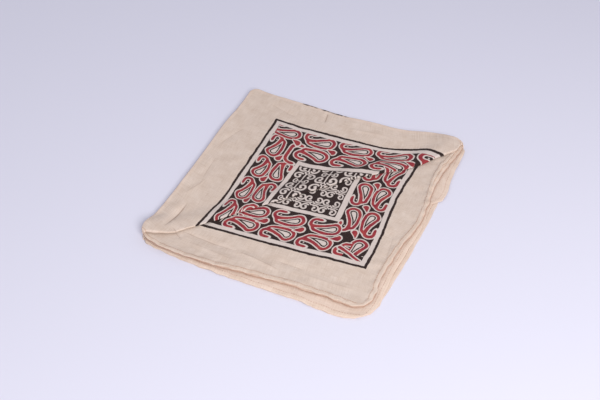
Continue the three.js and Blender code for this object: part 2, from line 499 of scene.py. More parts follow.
@dataclass
class FoldedCloth:
    """The cloth itself: one sheet, hemmed on its four sides and folded twice.

    Lengths are in millimetres. Each layer's middle keeps the pitch of the solid that it replaces.
    """

    cloth_thickness: float = 0.5
    hem_thickness: float = 1.0
    layer_pitch: float = 1.35
    lowest_middle: float = 0.6
    centre: Pair = (6.824, -5.031)
    first_fold: Fold = Fold(opening=2.2, round_out=1.3, closes_over=15)
    second_fold: Fold = Fold(opening=2.2, round_out=1.3, closes_over=17)
    left: Corner = Corner(-118, -151, 11, 1, 1)
    near: Corner = Corner(139, -160.5, 33, -1, 1)
    right: Corner = Corner(146.5, 140, 15, -1, -1)
    far: Corner = Corner(-134, 139, 9, 1, -1)
    first_fold_side: SmoothTable = SmoothTable(
        ((0, 0), (0.06, 2), (0.2, 0.5), (0.42, 0.2), (0.65, 1.4), (0.75, 1.5), (0.85, -0.1), (1, 0))
    )
    second_fold_side: SmoothTable = SmoothTable(
        ((0, 0), (0.12, -2), (0.25, -4), (0.47, -7), (0.6, -5.5), (0.72, -4.5), (0.87, 5), (1, 0))
    )
    near_left_side: SmoothTable = SmoothTable(
        ((0, 0), (0.1, 3), (0.3, 4.8), (0.5, 3.6), (0.7, 1.2), (0.85, 2), (1, 0))
    )
    near_right_side: SmoothTable = SmoothTable(
        ((0, 0), (0.16, -1), (0.28, 1), (0.4, 1.2), (0.56, 1.5), (0.7, -0.5), (0.86, -1.5), (1, 0))
    )
    # How far the top, upper inner and lower inner hems lie inside the bottom one, at places along a side
    near_left_hems: SmoothTable = SmoothTable(
        (
            (0, 0.3, 0.2, 0),
            (0.15, 0.8, 0.7, 0.2),
            (0.3, 3.6, 3.2, -0.3),
            (0.5, 9.6, 8.6, -0.4),
            (0.7, 12.8, 11.8, -0.4),
            (0.85, 14.8, 13.8, -0.3),
            (0.93, 12.4, 11.6, -0.3),
            (1, 8.6, 8, -0.3),
        )
    )
    near_right_hems: SmoothTable = SmoothTable(
        (
            (0, 3.4, 2.9, -0.3),
            (0.06, 6.6, 5.9, 0.4),
            (0.14, 10, 9.2, 1.6),
            (0.25, 12.5, 11.6, 4.6),
            (0.35, 11, 10.2, 4.4),
            (0.47, 6.5, 5.6, 3),
            (0.58, 7.6, 6.8, 4.5),
            (0.63, 8.6, 7.7, 3.8),
            (0.66, 9.2, 8.4, -4),
            (0.76, 9.5, 8.6, -3.5),
            (0.88, 6, 5.2, -1.5),
            (1, 2, 2, 0),
        )
    )
    # The pleat's move off the diagonal, tuck, rise of each turn and slip, at places along it
    pleat: SmoothTable = SmoothTable(
        (
            (0, 12, 0.6, 1.4, 0),
            (0.03, 8, 1.5, 2.2, 0),
            (0.06, 6.4, 3, 2.3, 0),
            (0.09, 8.4, 4, 1.8, 0),
            (0.15, 8.4, 6, 1.4, 0),
            (0.35, 8, 6.5, 1.35, 0),
            (0.55, 8, 6.5, 1.35, 0),
            (0.7, 12.5, 6.5, 1.35, 1),
            (0.82, 22, 6, 1.4, 6),
            (0.9, 16, 5, 1.5, 12),
            (0.95, 14, 3, 1.6, 10),
            (1, 28, 0.6, 1.6, 8),
        )
    )
    pleat_flat: float = 9
    pleat_ramp: float = 20
    pleat_hold: float = 10
    flap_puff: Puff = Puff(0.88, 0.93, 0.09, 2)
    corner_roll: Puff = Puff(0.015, 0.06, 0.05, 1.6)
    corner_mouth: Puff = Puff(0, 0, 0.09, 1)
    # How far the upper pair stands off the lower one at the two near hems
    near_left_gape: SmoothTable = SmoothTable(
        ((0, 2.1), (0.1, 2.3), (0.3, 1.7), (0.5, 1.0), (0.8, 0.8), (1, 0.8))
    )
    near_right_gape: SmoothTable = SmoothTable(((0, 0.8), (0.4, 0.7), (0.8, 0.6), (1, 0.3)))
    gape_reach: float = 16
    creases: tuple[Crease, ...] = (
        Crease((-100.5, -84), (-101.5, -130), 2.6, -1.3, 0.6, 0.9, 1.0),
        Crease((-108, -84), (-109.5, -128), 6.0, 1.3, 0.0, 0.0, 0.0),
        Crease((-27, 131), (-23.5, 111), 2.6, -0.9, 0.0, 0.6, 0.7),
        Crease((-86, -124), (-20, -127.5), 3.2, -0.9, -0.8, 0.4, 0.35),
        Crease((-17, -127), (32, -133.5), 3.0, 0.9, 0.6, 0.4, 0.35),
        Crease((24, -122.5), (56, -123), 2.8, -0.8, 0.0, 0.0, 0.3),
        Crease((-94, -126), (-79, -135), 2.8, -0.9, 0.0, 0.5, 0.4),
        Crease((-72, -136), (-10, -141), 3.4, 0.7, 1.0, 0.0, 0.2),
        Crease((-106, -40), (-110, -2), 3.0, -0.6, 1.0, 0.3, 0.3),
        Crease((-112, -72), (-103, -42), 2.8, 0.6, -1.0, 0.3, 0.25),
        Crease((-118, 18), (-106, 64), 3.0, -0.55, 1.5, 0.3, 0.25),
        Crease((-97, 119), (-58, 108), 3.0, -0.55, -1.0, 0.3, 0.2),
        Crease((8, 112), (60, 117), 3.0, 0.55, 1.0, 0.3, 0.2),
        Crease((118, -34), (125, -102), 3.4, -0.55, 1.5, 0.3, 0.2),
        Crease((58, -128), (110, -126), 3.2, 0.5, -1.0, 0.3, 0.2),
    )
    fine_edges: tuple[float, ...] = (0, 0.4, 1.1, 2.4, 3.8, 4.5, 5.1, 5.6, 6.3, 7.6)
    coarse_edges: tuple[float, ...] = (0, 0.9, 4.5, 5.6, 7.5)
    # The last of those edges before the stitches, and the stitches' share of the way to the next
    fine_seam: tuple[int, float] = (5, 0.5)
    coarse_seam: tuple[int, float] = (2, 0.27)
    pleat_between: Pair = (0.33, 0.67)
    fine_steps: int = 142
    coarse_steps: int = 30
    bend_steps: int = 12
    turn_steps: int = 8
    span: np.ndarray = field(init=False)
    along_pleat: np.ndarray = field(init=False)
    toward_far: np.ndarray = field(init=False)

    def __post_init__(self) -> None:
        """Works out the spans and the pleat's directions."""
        self.span = np.array([self.right.x - self.far.x, self.right.y - self.near.y])
        run = self.right.place - self.left.place
        self.along_pleat = run / np.hypot(*run)
        self.toward_far = np.array([-self.along_pleat[1], self.along_pleat[0]])

    def _quarter(self, edges: tuple[float, ...], steps: int) -> np.ndarray:
        """Places across one quarter, crowded along its hem and its fold alike.

        Args:
            edges: Distances in from each side.
            steps: Even steps between them.

        Returns:
            Shares of the way, from 0 to 1.
        """
        ends = np.array(edges) / float(self.span.mean())
        middle = np.linspace(ends[-1], 1 - ends[-1], steps + 1)[1:-1]
        return np.concatenate([ends, middle, 1 - ends[::-1]])

    def stations(self) -> tuple[Stations, Stations, int]:
        """The grid's columns and rows.

        Returns:
            The columns, the rows, and the first column of the top layer.
        """
        fine = self._quarter(self.fine_edges, self.fine_steps)
        coarse = self._quarter(self.coarse_edges, self.coarse_steps)
        bend = math.pi * np.arange(1, self.bend_steps) / self.bend_steps
        columns = Stations(
            np.concatenate([coarse[::-1], np.zeros_like(bend), fine]),
            np.concatenate([np.full_like(coarse, math.pi), bend[::-1], np.zeros_like(fine)]),
        )
        rows = Stations(
            np.concatenate([fine, np.ones_like(bend), coarse[::-1]]),
            np.concatenate([np.zeros_like(fine), bend, np.full_like(coarse, math.pi)]),
        )
        return columns, rows, len(coarse) + len(bend)

    def _side(self, start: Corner, end: Corner, out: np.ndarray, at: np.ndarray) -> np.ndarray:
        """Points on one side of the outline, between two corners.

        Args:
            start: The side's first corner.
            end: Its other corner.
            out: How far each point lies outside the line between them.
            at: Its share of the way along.

        Returns:
            Plan X and Y on a last axis.
        """
        run = end.place - start.place
        unit = run / np.hypot(*run)
        outward = np.array([unit[1], -unit[0]])
        return start.place + at[..., None] * run + out * outward

    def _outline(self, along_x: np.ndarray, along_y: np.ndarray) -> np.ndarray:
        """The bottom layer's points: a patch stretched between the four sides.

        Args:
            along_x: Each point's share of the way along X.
            along_y: The same along Y.

        Returns:
            Plan X and Y on a last axis.
        """
        near_left = self._side(self.left, self.near, self.near_left_side.at(along_x), along_x)
        near_right = self._side(self.near, self.right, self.near_right_side.at(along_y), along_y)
        far_side = self._side(self.right, self.far, self.second_fold_side.at(along_x), 1 - along_x)
        first_side = self._side(self.far, self.left, self.first_fold_side.at(along_y), 1 - along_y)
        share_x, share_y = along_x[..., None], along_y[..., None]
        near_chord = self.left.place + share_x * (self.near.place - self.left.place)
        far_chord = self.far.place + share_x * (self.right.place - self.far.place)
        return (
            near_left * (1 - share_y)
            + far_side * share_y
            + first_side * (1 - share_x)
            + near_right * share_x
            - near_chord * (1 - share_y)
            - far_chord * share_y
        )

    @staticmethod
    def _round_corner(place: np.ndarray, corner: Corner) -> np.ndarray:
        """Squeezes a square of the corner radius's size into a quarter disc.

        Args:
            place: Plan places.
            corner: The corner.

        Returns:
            The places, moved where they are near the corner.
        """
        inward = np.array([corner.inward_x, corner.inward_y])
        centre = corner.place + inward * corner.radius
        toward = np.minimum(1, -inward * (place - centre) / corner.radius)
        inside = (toward > 0).all(axis=-1, keepdims=True)
        other = toward[..., ::-1]
        squeezed = toward * (1 - np.sqrt(1 - np.clip(other, 0, 1) ** 2 / 2))
        return place + np.where(inside, inward * corner.radius * squeezed, 0)

    @staticmethod
    def _shares(col_turn: np.ndarray, row_turn: np.ndarray) -> dict[Layer, np.ndarray]:
        """How much of each layer a place belongs to, 1 on a layer and shared in a bend.

        Args:
            col_turn: How far the first fold has turned there.
            row_turn: The same for the second.

        Returns:
            The shares, by layer.
        """
        upper_side = (1 + np.cos(col_turn)) / 2
        upper_pair = (1 + np.cos(row_turn)) / 2
        return {
            Layer.TOP: upper_side * upper_pair,
            Layer.UPPER_INNER: (1 - upper_side) * upper_pair,
            Layer.LOWER_INNER: (1 - upper_side) * (1 - upper_pair),
            Layer.BOTTOM: upper_side * (1 - upper_pair),
            Layer.UPPER_PAIR: upper_pair + 0 * upper_side,
        }

    def _away_from_sides(self, along_x: np.ndarray, along_y: np.ndarray) -> np.ndarray:
        """1 inside a quarter, falling to 0 at each of its four sides.

        Args:
            along_x: Share of the way along X.
            along_y: The same along Y.

        Returns:
            The share, from 0 to 1.
        """
        distances = (
            along_x * self.span[0],
            (1 - along_x) * self.span[0],
            along_y * self.span[1],
            (1 - along_y) * self.span[1],
        )
        return math.prod(1 - nearness(distance, self.pleat_hold) for distance in distances)

    def _plan(self, columns: Stations, rows: Stations, near_half: bool) -> np.ndarray:
        """Each place seen from above.

        Args:
            columns: The columns, broadcast against the rows.
            rows: The rows.
            near_half: True on the near side of the pleat.

        Returns:
            Plan X and Y on a last axis.
        """
        shares = self._shares(columns.turn, rows.turn)
        along_x, along_y = np.broadcast_arrays(columns.along, rows.along)
        place = self._outline(along_x, along_y)
        for corner in (self.left, self.near, self.right, self.far):
            place = self._round_corner(place, corner)
        layers = np.stack([shares[Layer.TOP], shares[Layer.UPPER_INNER], shares[Layer.LOWER_INNER]], axis=-1)
        place[..., 1] += (layers * self.near_left_hems.at(along_x)).sum(axis=-1) * (1 - along_y)
        place[..., 0] -= (layers * self.near_right_hems.at(along_y)).sum(axis=-1) * along_x
        layer = 37 * shares[Layer.UPPER_PAIR] + 23 * (shares[Layer.TOP] + shares[Layer.BOTTOM])
        for axis, run, inward in ((0, along_y, 1 - along_x), (1, along_x, along_y)):
            sway = Ripple(9, 26, 31 + axis).at(run * self.span[1 - axis], layer)
            place[..., axis] += 0.5 * sway * nearness(inward * self.span[axis], 7)
        to_near, _, _, slip = np.moveaxis(self.pleat.at((along_x + along_y) / 2), -1, 0)
        pull = shares[Layer.TOP] * (1 - np.abs(along_y - along_x)) ** 2
        shift = to_near * pull * self._away_from_sides(along_x, along_y)
        place = place - shift[..., None] * self.toward_far
        if near_half:
            place = place - (slip * pull)[..., None] * self.along_pleat
        return place

    def _opening(self, fold: Fold, distance: np.ndarray) -> np.ndarray:
        """How far apart two folded layers stand, at a distance in from their fold's edge."""
        return self.layer_pitch + (fold.opening - self.layer_pitch) * nearness(distance, fold.closes_over)

    def _cloth(self, columns: Stations, rows: Stations, near_half: bool) -> np.ndarray:
        """The middle of the cloth's thickness, without the pleat's lift.

        Args:
            columns: The columns, broadcast against the rows.
            rows: The rows.
            near_half: True on the near side of the pleat.

        Returns:
            Places in millimetres.
        """
        plan = self._plan(columns, rows, near_half)
        shares = self._shares(columns.turn, rows.turn)
        first_opening = self._opening(self.first_fold, columns.along * self.span[0])
        pair_opening = self._opening(self.second_fold, (1 - rows.along) * self.span[1])
        pair_middle = (first_opening + pair_opening) / 2
        from_middle = pair_middle + np.cos(columns.turn) * first_opening / 2
        round_out = self.second_fold.round_out * from_middle * 2 / pair_opening
        mouth = self.corner_mouth.at(columns.along, rows.along) * shares[Layer.UPPER_PAIR]
        height = self.lowest_middle + pair_middle + first_opening / 2
        height = height + np.cos(rows.turn) * from_middle + mouth
        gape = self.near_left_gape.at(columns.along)[..., 0]
        gape = gape * nearness(rows.along * self.span[1], self.gape_reach)
        other_gape = self.near_right_gape.at(rows.along)[..., 0]
        other_gape = other_gape * nearness((1 - columns.along) * self.span[0], self.gape_reach)
        height = height + np.maximum(gape, other_gape) * shares[Layer.UPPER_PAIR]
        x = plan[..., 0] - self.first_fold.round_out * np.sin(columns.turn)
        y = plan[..., 1] + round_out * np.sin(rows.turn)
        return np.stack(np.broadcast_arrays(x, y, height), axis=-1)

    def _relief(self, points: np.ndarray, edge: np.ndarray) -> np.ndarray:
        """The top layer's creases and slack, as a height at each point.

        Args:
            points: The points.
            edge: Their distances in from the cloth's edge.

        Returns:
            Heights in millimetres.
        """
        x, y = points[..., 0], points[..., 1]
        height = 0.24 * Ripple(38, 95, 3).at(x, y) + 0.13 * Ripple(14, 30, 5).at(x, y)
        height = height + 0.035 * Ripple(5, 11, 7).at(x, y)
        for crease in self.creases:
            height = height + crease.at(x, y)
        return height * smoothstep(edge, 0, 16)

    def _puckers(self, points: np.ndarray, edge: np.ndarray, seed: int) -> np.ndarray:
        """Small waves that the sewing leaves along a hem, mostly the same in all layers.

        Args:
            points: The points.
            edge: Their distances in from the cloth's edge.
            seed: Which part of them is the layer's own.

        Returns:
            Heights in millimetres.
        """
        x, y = points[..., 0], points[..., 1]
        wave = 0.3 * Ripple(8, 20, 10).at(x, y) + 0.09 * Ripple(6, 17, seed).at(x, y)
        return wave * np.exp(-((edge / 14) ** 2))

    def surface(self) -> Surface:
        """The middle surface: a grid over all four quarters, opened along the pleat.

        Returns:
            Points, faces, and the print's and the cloth's own coordinates at each point.
        """
        column_list, row_list, first_top = self.stations()
        columns = Stations(column_list.along[:, None], column_list.turn[:, None])
        rows = Stations(row_list.along[None, :], row_list.turn[None, :])
        shares = self._shares(columns.turn, rows.turn)
        along_x, along_y = np.broadcast_arrays(columns.along, rows.along)
        edge = np.minimum((1 - along_x) * self.span[0], along_y * self.span[1])

        past = (along_y - along_x) * self.span[1] / math.sqrt(2)
        in_near_half = past < -1e-9
        far_points = self._cloth(columns, rows, False)
        near_points = self._cloth(columns, rows, True)
        lapped = 1 - smoothstep(past, self.pleat_flat, self.pleat_flat + self.pleat_ramp)
        rise = self.pleat.at((along_x + along_y) / 2)[..., 2]
        puff = self.flap_puff.at(along_x, along_y) + self.corner_roll.at(along_x, along_y)
        lifted = far_points.copy()
        lifted[..., 2] += (2 * rise * lapped + puff) * shares[Layer.TOP]
        points = np.where(in_near_half[..., None], near_points, lifted)

        points[..., 2] += self._relief(points, edge) * shares[Layer.TOP]
        for layer, seed in ((Layer.TOP, 11), (Layer.UPPER_INNER, 12), (Layer.LOWER_INNER, 13)):
            points[..., 2] += self._puckers(points, edge, seed) * shares[layer]

        inked = self._inked(points, columns, rows, self.span)
        shape = points.shape[:2]
        flat_x = np.where(columns.turn < math.pi / 2, 1, -1) * along_x * self.span[0]
        flat_y = np.where(rows.turn < math.pi / 2, -1, 1) * (1 - along_y) * self.span[1]
        printed = self._laid_print(points, in_near_half, shares)

        count = shape[0] * shape[1]
        index = np.arange(count).reshape(shape)
        steps = len(self._quarter(self.fine_edges, self.fine_steps))
        strip = self._pleat_strip(column_list, row_list, first_top, steps, points)
        strip_points, strip_print, strip_flat, strip_edge = strip
        strip_index = count + np.arange(strip_points.shape[0] * strip_points.shape[1])
        strip_index = strip_index.reshape(strip_points.shape[:2])
        lips = index[first_top + np.arange(steps), np.arange(steps)]
        strip_rows = np.concatenate([lips[:, None], strip_index], axis=1)

        near_index = index.copy()
        near_index[first_top + np.arange(steps), np.arange(steps)] = strip_index[:, -1]
        faces = self._faces(index, near_index, strip_rows, first_top)
        carried = {
            PRINT_MAP: np.concatenate([printed.reshape(-1, 2), strip_print.reshape(-1, 2)]),
            CLOTH_MAP: np.concatenate(
                [np.stack([flat_x, flat_y], axis=-1).reshape(-1, 2), strip_flat.reshape(-1, 2)]
            ),
            HEM_DISTANCE: np.concatenate([edge.ravel(), strip_edge.ravel()]),
            TOP_SHARE: np.concatenate([shares[Layer.TOP].ravel(), np.ones(strip_edge.size)]),
            EDGE_INK: np.concatenate([inked.ravel(), np.zeros(strip_edge.size)]),
            UPPER_INNER_SHARE: np.concatenate(
                [shares[Layer.UPPER_INNER].ravel(), np.zeros(strip_edge.size)]
            ),
        }
        every = np.concatenate([points.reshape(-1, 3), strip_points.reshape(-1, 3)])
        carried[PLAN_MAP] = every[:, :2].copy()
        every -= np.array([self.centre[0], self.centre[1], 0])
        clear = (shares[Layer.TOP] < 0.5) | (np.abs(past) > 7)
        sides = (
            (index.T, clear.T, self.fine_seam),
            (index.T[::-1], clear.T[::-1], self.coarse_seam),
            (index[::-1], clear[::-1], self.fine_seam),
            (index, clear, self.coarse_seam),
        )
        seams = [
            Seam(lines[outer], lines[outer + 1], share, shown[outer])
            for lines, shown, (outer, share) in sides
        ]
        return Surface(every, faces, carried, seams)

    @staticmethod
    def _inked(
        points: np.ndarray, columns: Stations, rows: Stations, span: np.ndarray
    ) -> np.ndarray:
        """How much ink of the print that goes on underneath shows round each fold, from 0 to 1.

        Args:
            points: The grid's points.
            columns: The grid's columns.
            rows: The grid's rows.
            span: The folded bandana's width and depth.

        Returns:
            The share of ink at each point.
        """
        x, y = points[..., 0], points[..., 1]
        past_second = (1 - rows.along) * span[1]
        on_second = (1 - smoothstep(past_second, 0.7, 1.7)) * (columns.turn < 0.1) * (rows.turn < 1.4)
        on_second = on_second * smoothstep(x, -70, -62) * (1 - smoothstep(x, -4, 6))
        past_first = columns.along * span[0]
        on_first = (1 - smoothstep(past_first, 0.7, 1.7)) * (rows.turn < 0.1) * (columns.turn < 1.4)
        on_first = 0.72 * on_first * smoothstep(y, 84, 88) * (1 - smoothstep(y, 94, 99))
        return np.maximum(on_second, on_first)

    @staticmethod
    def _laid_print(
        points: np.ndarray, in_near_half: np.ndarray, shares: dict[Layer, np.ndarray]
    ) -> np.ndarray:
        """The print's own place at each point; the hidden quarters carry the far half's, mirrored.

        Args:
            points: The grid's points.
            in_near_half: True on the near side of the pleat.
            shares: How much of each layer they belong to.

        Returns:
            The print's X and Y on a last axis.
        """
        x, y = points[..., 0], points[..., 1]
        near_half = in_near_half & (shares[Layer.TOP] > 0.5)
        return np.where(near_half[..., None], NEAR_HALF_PRINT.at(x, y), FAR_HALF_PRINT.at(x, y))

    def _pleat_strip(
        self,
        column_list: Stations,
        row_list: Stations,
        first_top: int,
        steps: int,
        points: np.ndarray,
    ) -> tuple[np.ndarray, np.ndarray, np.ndarray, np.ndarray]:
        """The pleat's sections: round the lip, back under the flap and out again to the near half.

        Args:
            column_list: The grid's columns.
            row_list: The grid's rows.
            first_top: First column of the top layer.
            steps: Stations along the pleat.
            points: The grid's points, whose diagonal is the pleat's lip.

        Returns:
            Points, print places, cloth places and hem distances, one row a section, without the lip's top.
        """
        at_columns = Stations(
            column_list.along[first_top : first_top + steps], column_list.turn[first_top : first_top + steps]
        )
        at_rows = Stations(row_list.along[:steps], row_list.turn[:steps])
        base = self._cloth(at_columns, at_rows, True)
        flap = self._cloth(at_columns, at_rows, False)
        lip = points[first_top + np.arange(steps), np.arange(steps)]
        along = at_columns.along
        edge = np.minimum((1 - along) * self.span[0], along * self.span[1])
        _, depth, rise, _ = np.moveaxis(self.pleat.at(along), -1, 0)
        radius = rise / 2
        settled = self._relief(base, edge) + self._puckers(base, edge, 11)
        base[:, 2] += settled
        raised = lip[:, 2] - flap[:, 2] - settled - 4 * radius

        def place(inward: np.ndarray, height: np.ndarray) -> np.ndarray:
            """A point of each section, from how far it lies inward and how high above the near half."""
            moved = flap.copy()
            moved[:, :2] += inward[:, None] * self.toward_far
            moved[:, 2] += height + settled
            return moved

        sections = []
        for turn in np.linspace(0, math.pi, self.turn_steps + 1)[1:]:
            lift = raised * (1 + math.cos(turn)) / 2
            sections.append(
                place(-radius * math.sin(turn), 3 * radius + radius * math.cos(turn) + lift)
            )
        for share in self.pleat_between:
            sections.append(place(depth * share, 2 * radius))
        for turn in np.linspace(0, math.pi, self.turn_steps // 2 + 1):
            sections.append(place(depth + radius * math.sin(turn), radius + radius * math.cos(turn)))
        end = sections[-1].copy()
        for share in self.pleat_between:
            sections.append(end + share * (base - end))
        sections.append(base)

        strip = np.stack(sections, axis=1)
        run = np.linalg.norm(np.diff(np.concatenate([lip[:, None], strip], axis=1), axis=1), axis=2)
        gone = np.cumsum(run, axis=1)
        share = (gone / gone[:, -1:])[..., None]
        from_print = FAR_HALF_PRINT.at(lip[:, 0], lip[:, 1])[:, None]
        to_print = NEAR_HALF_PRINT.at(base[:, 0], base[:, 1])[:, None]
        printed = from_print + share * (to_print - from_print)
        flat = np.stack([along * self.span[0], -(1 - along) * self.span[1]], axis=-1)
        flat = flat[:, None] - gone[..., None] * self.toward_far
        return strip, printed, flat, np.repeat(edge[:, None], strip.shape[1], axis=1)

    @staticmethod
    def _faces(
        index: np.ndarray, near_index: np.ndarray, strip_rows: np.ndarray, first_top: int
    ) -> np.ndarray:
        """The grid's faces, with the pleat's strip in the top layer's diagonal.

        Args:
            index: Each grid point's index, the pleat's lip on the diagonal.
            near_index: The same with the near half's points on the diagonal.
            strip_rows: The pleat's sections, lip first.
            first_top: First column of the top layer.

        Returns:
            Four corners a face; a triangle repeats its last.
        """
        column, row = np.meshgrid(
            np.arange(index.shape[0] - 1), np.arange(index.shape[1] - 1), indexing="ij"
        )
        off = column - first_top - row
        diagonal = (off == 0) & (column >= first_top)
        near_half = off > 0

        def quads(source: np.ndarray, mask: np.ndarray) -> np.ndarray:
            """The faces of the cells in a mask."""
            corners = (source[:-1, :-1], source[1:, :-1], source[1:, 1:], source[:-1, 1:])
            return np.stack([corner[mask] for corner in corners], axis=-1)

        on_diagonal_far = quads(index, diagonal)
        on_diagonal_near = quads(near_index, diagonal)
        strips = (strip_rows[:-1, :-1], strip_rows[:-1, 1:], strip_rows[1:, 1:], strip_rows[1:, :-1])
        return np.concatenate(
            [
                quads(index, ~near_half & ~diagonal),
                quads(near_index, near_half),
                on_diagonal_far[:, [0, 2, 3, 3]],
                on_diagonal_near[:, [0, 1, 2, 2]],
                np.stack(strips, axis=-1).reshape(-1, 4),
            ]
        )

    def thickness_at(self, edge: np.ndarray) -> np.ndarray:
        """The cloth's thickness at a distance in from its edge, thicker in the hem.

        Args:
            edge: Distance in from the cloth's edge.

        Returns:
            Thickness in millimetres.
        """
        in_hem = 1 - smoothstep(edge, HEM_WIDTH - 0.2, HEM_WIDTH + 0.8)
        thick = self.cloth_thickness + (self.hem_thickness - self.cloth_thickness) * in_hem
        groove = 0.22 * nearness(edge - STITCH_LINE, 0.45)
        rounded = 0.62 + 0.38 * np.sqrt(1 - (1 - np.clip(edge / 0.9, 0, 1)) ** 2)
        return (thick - groove) * rounded

    def build(self, surface: Surface, material: bpy.types.Material) -> bpy.types.Object:
        """Makes the cloth's mesh: both skins and the rim between them.

        Args:
            surface: The cloth's middle surface.
            material: What it is made of.

        Returns:
            The finished object.
        """
        normals = surface.normals()
        half = self.thickness_at(surface.carried[HEM_DISTANCE])[:, None] / 2
        count = len(surface.points)
        corners = np.concatenate([surface.points + half * normals, surface.points - half * normals])
        rim = surface.rim()
        walls = np.stack([rim[:, 0], rim[:, 0] + count, rim[:, 1] + count, rim[:, 1]], axis=-1)
        faces = np.concatenate([surface.faces, surface.faces[:, ::-1] + count, walls])
        mesh = bpy.data.meshes.new("bandana_cloth")
        lists = [tuple(dict.fromkeys(face)) for face in faces.tolist()]
        mesh.from_pydata((corners * MM).tolist(), [], lists)
        mesh.validate()
        mesh.update()
        loops = np.zeros(len(mesh.loops), np.int64)
        mesh.loops.foreach_get("vertex_index", loops)
        for name in (PRINT_MAP, CLOTH_MAP, PLAN_MAP):
            values = np.tile(surface.carried[name], (2, 1)) * MM
            layer = mesh.uv_layers.new(name=name)
            layer.data.foreach_set("uv", values[loops].astype(np.float32).ravel())
        names = (HEM_DISTANCE, TOP_SHARE, EDGE_INK, UPPER_INNER_SHARE)
        floats = {name: np.tile(surface.carried[name], 2) for name in names}
        floats[PRINTED_SIDE] = np.concatenate([np.ones(count), np.zeros(count)])
        for name, values in floats.items():
            attribute = mesh.attributes.new(name, "FLOAT", "POINT")
            attribute.data.foreach_set("value", values.astype(np.float32))
        mesh.polygons.foreach_set("use_smooth", np.ones(len(mesh.polygons), bool))
        mesh.materials.append(material)
        return placed("bandana_cloth", mesh)


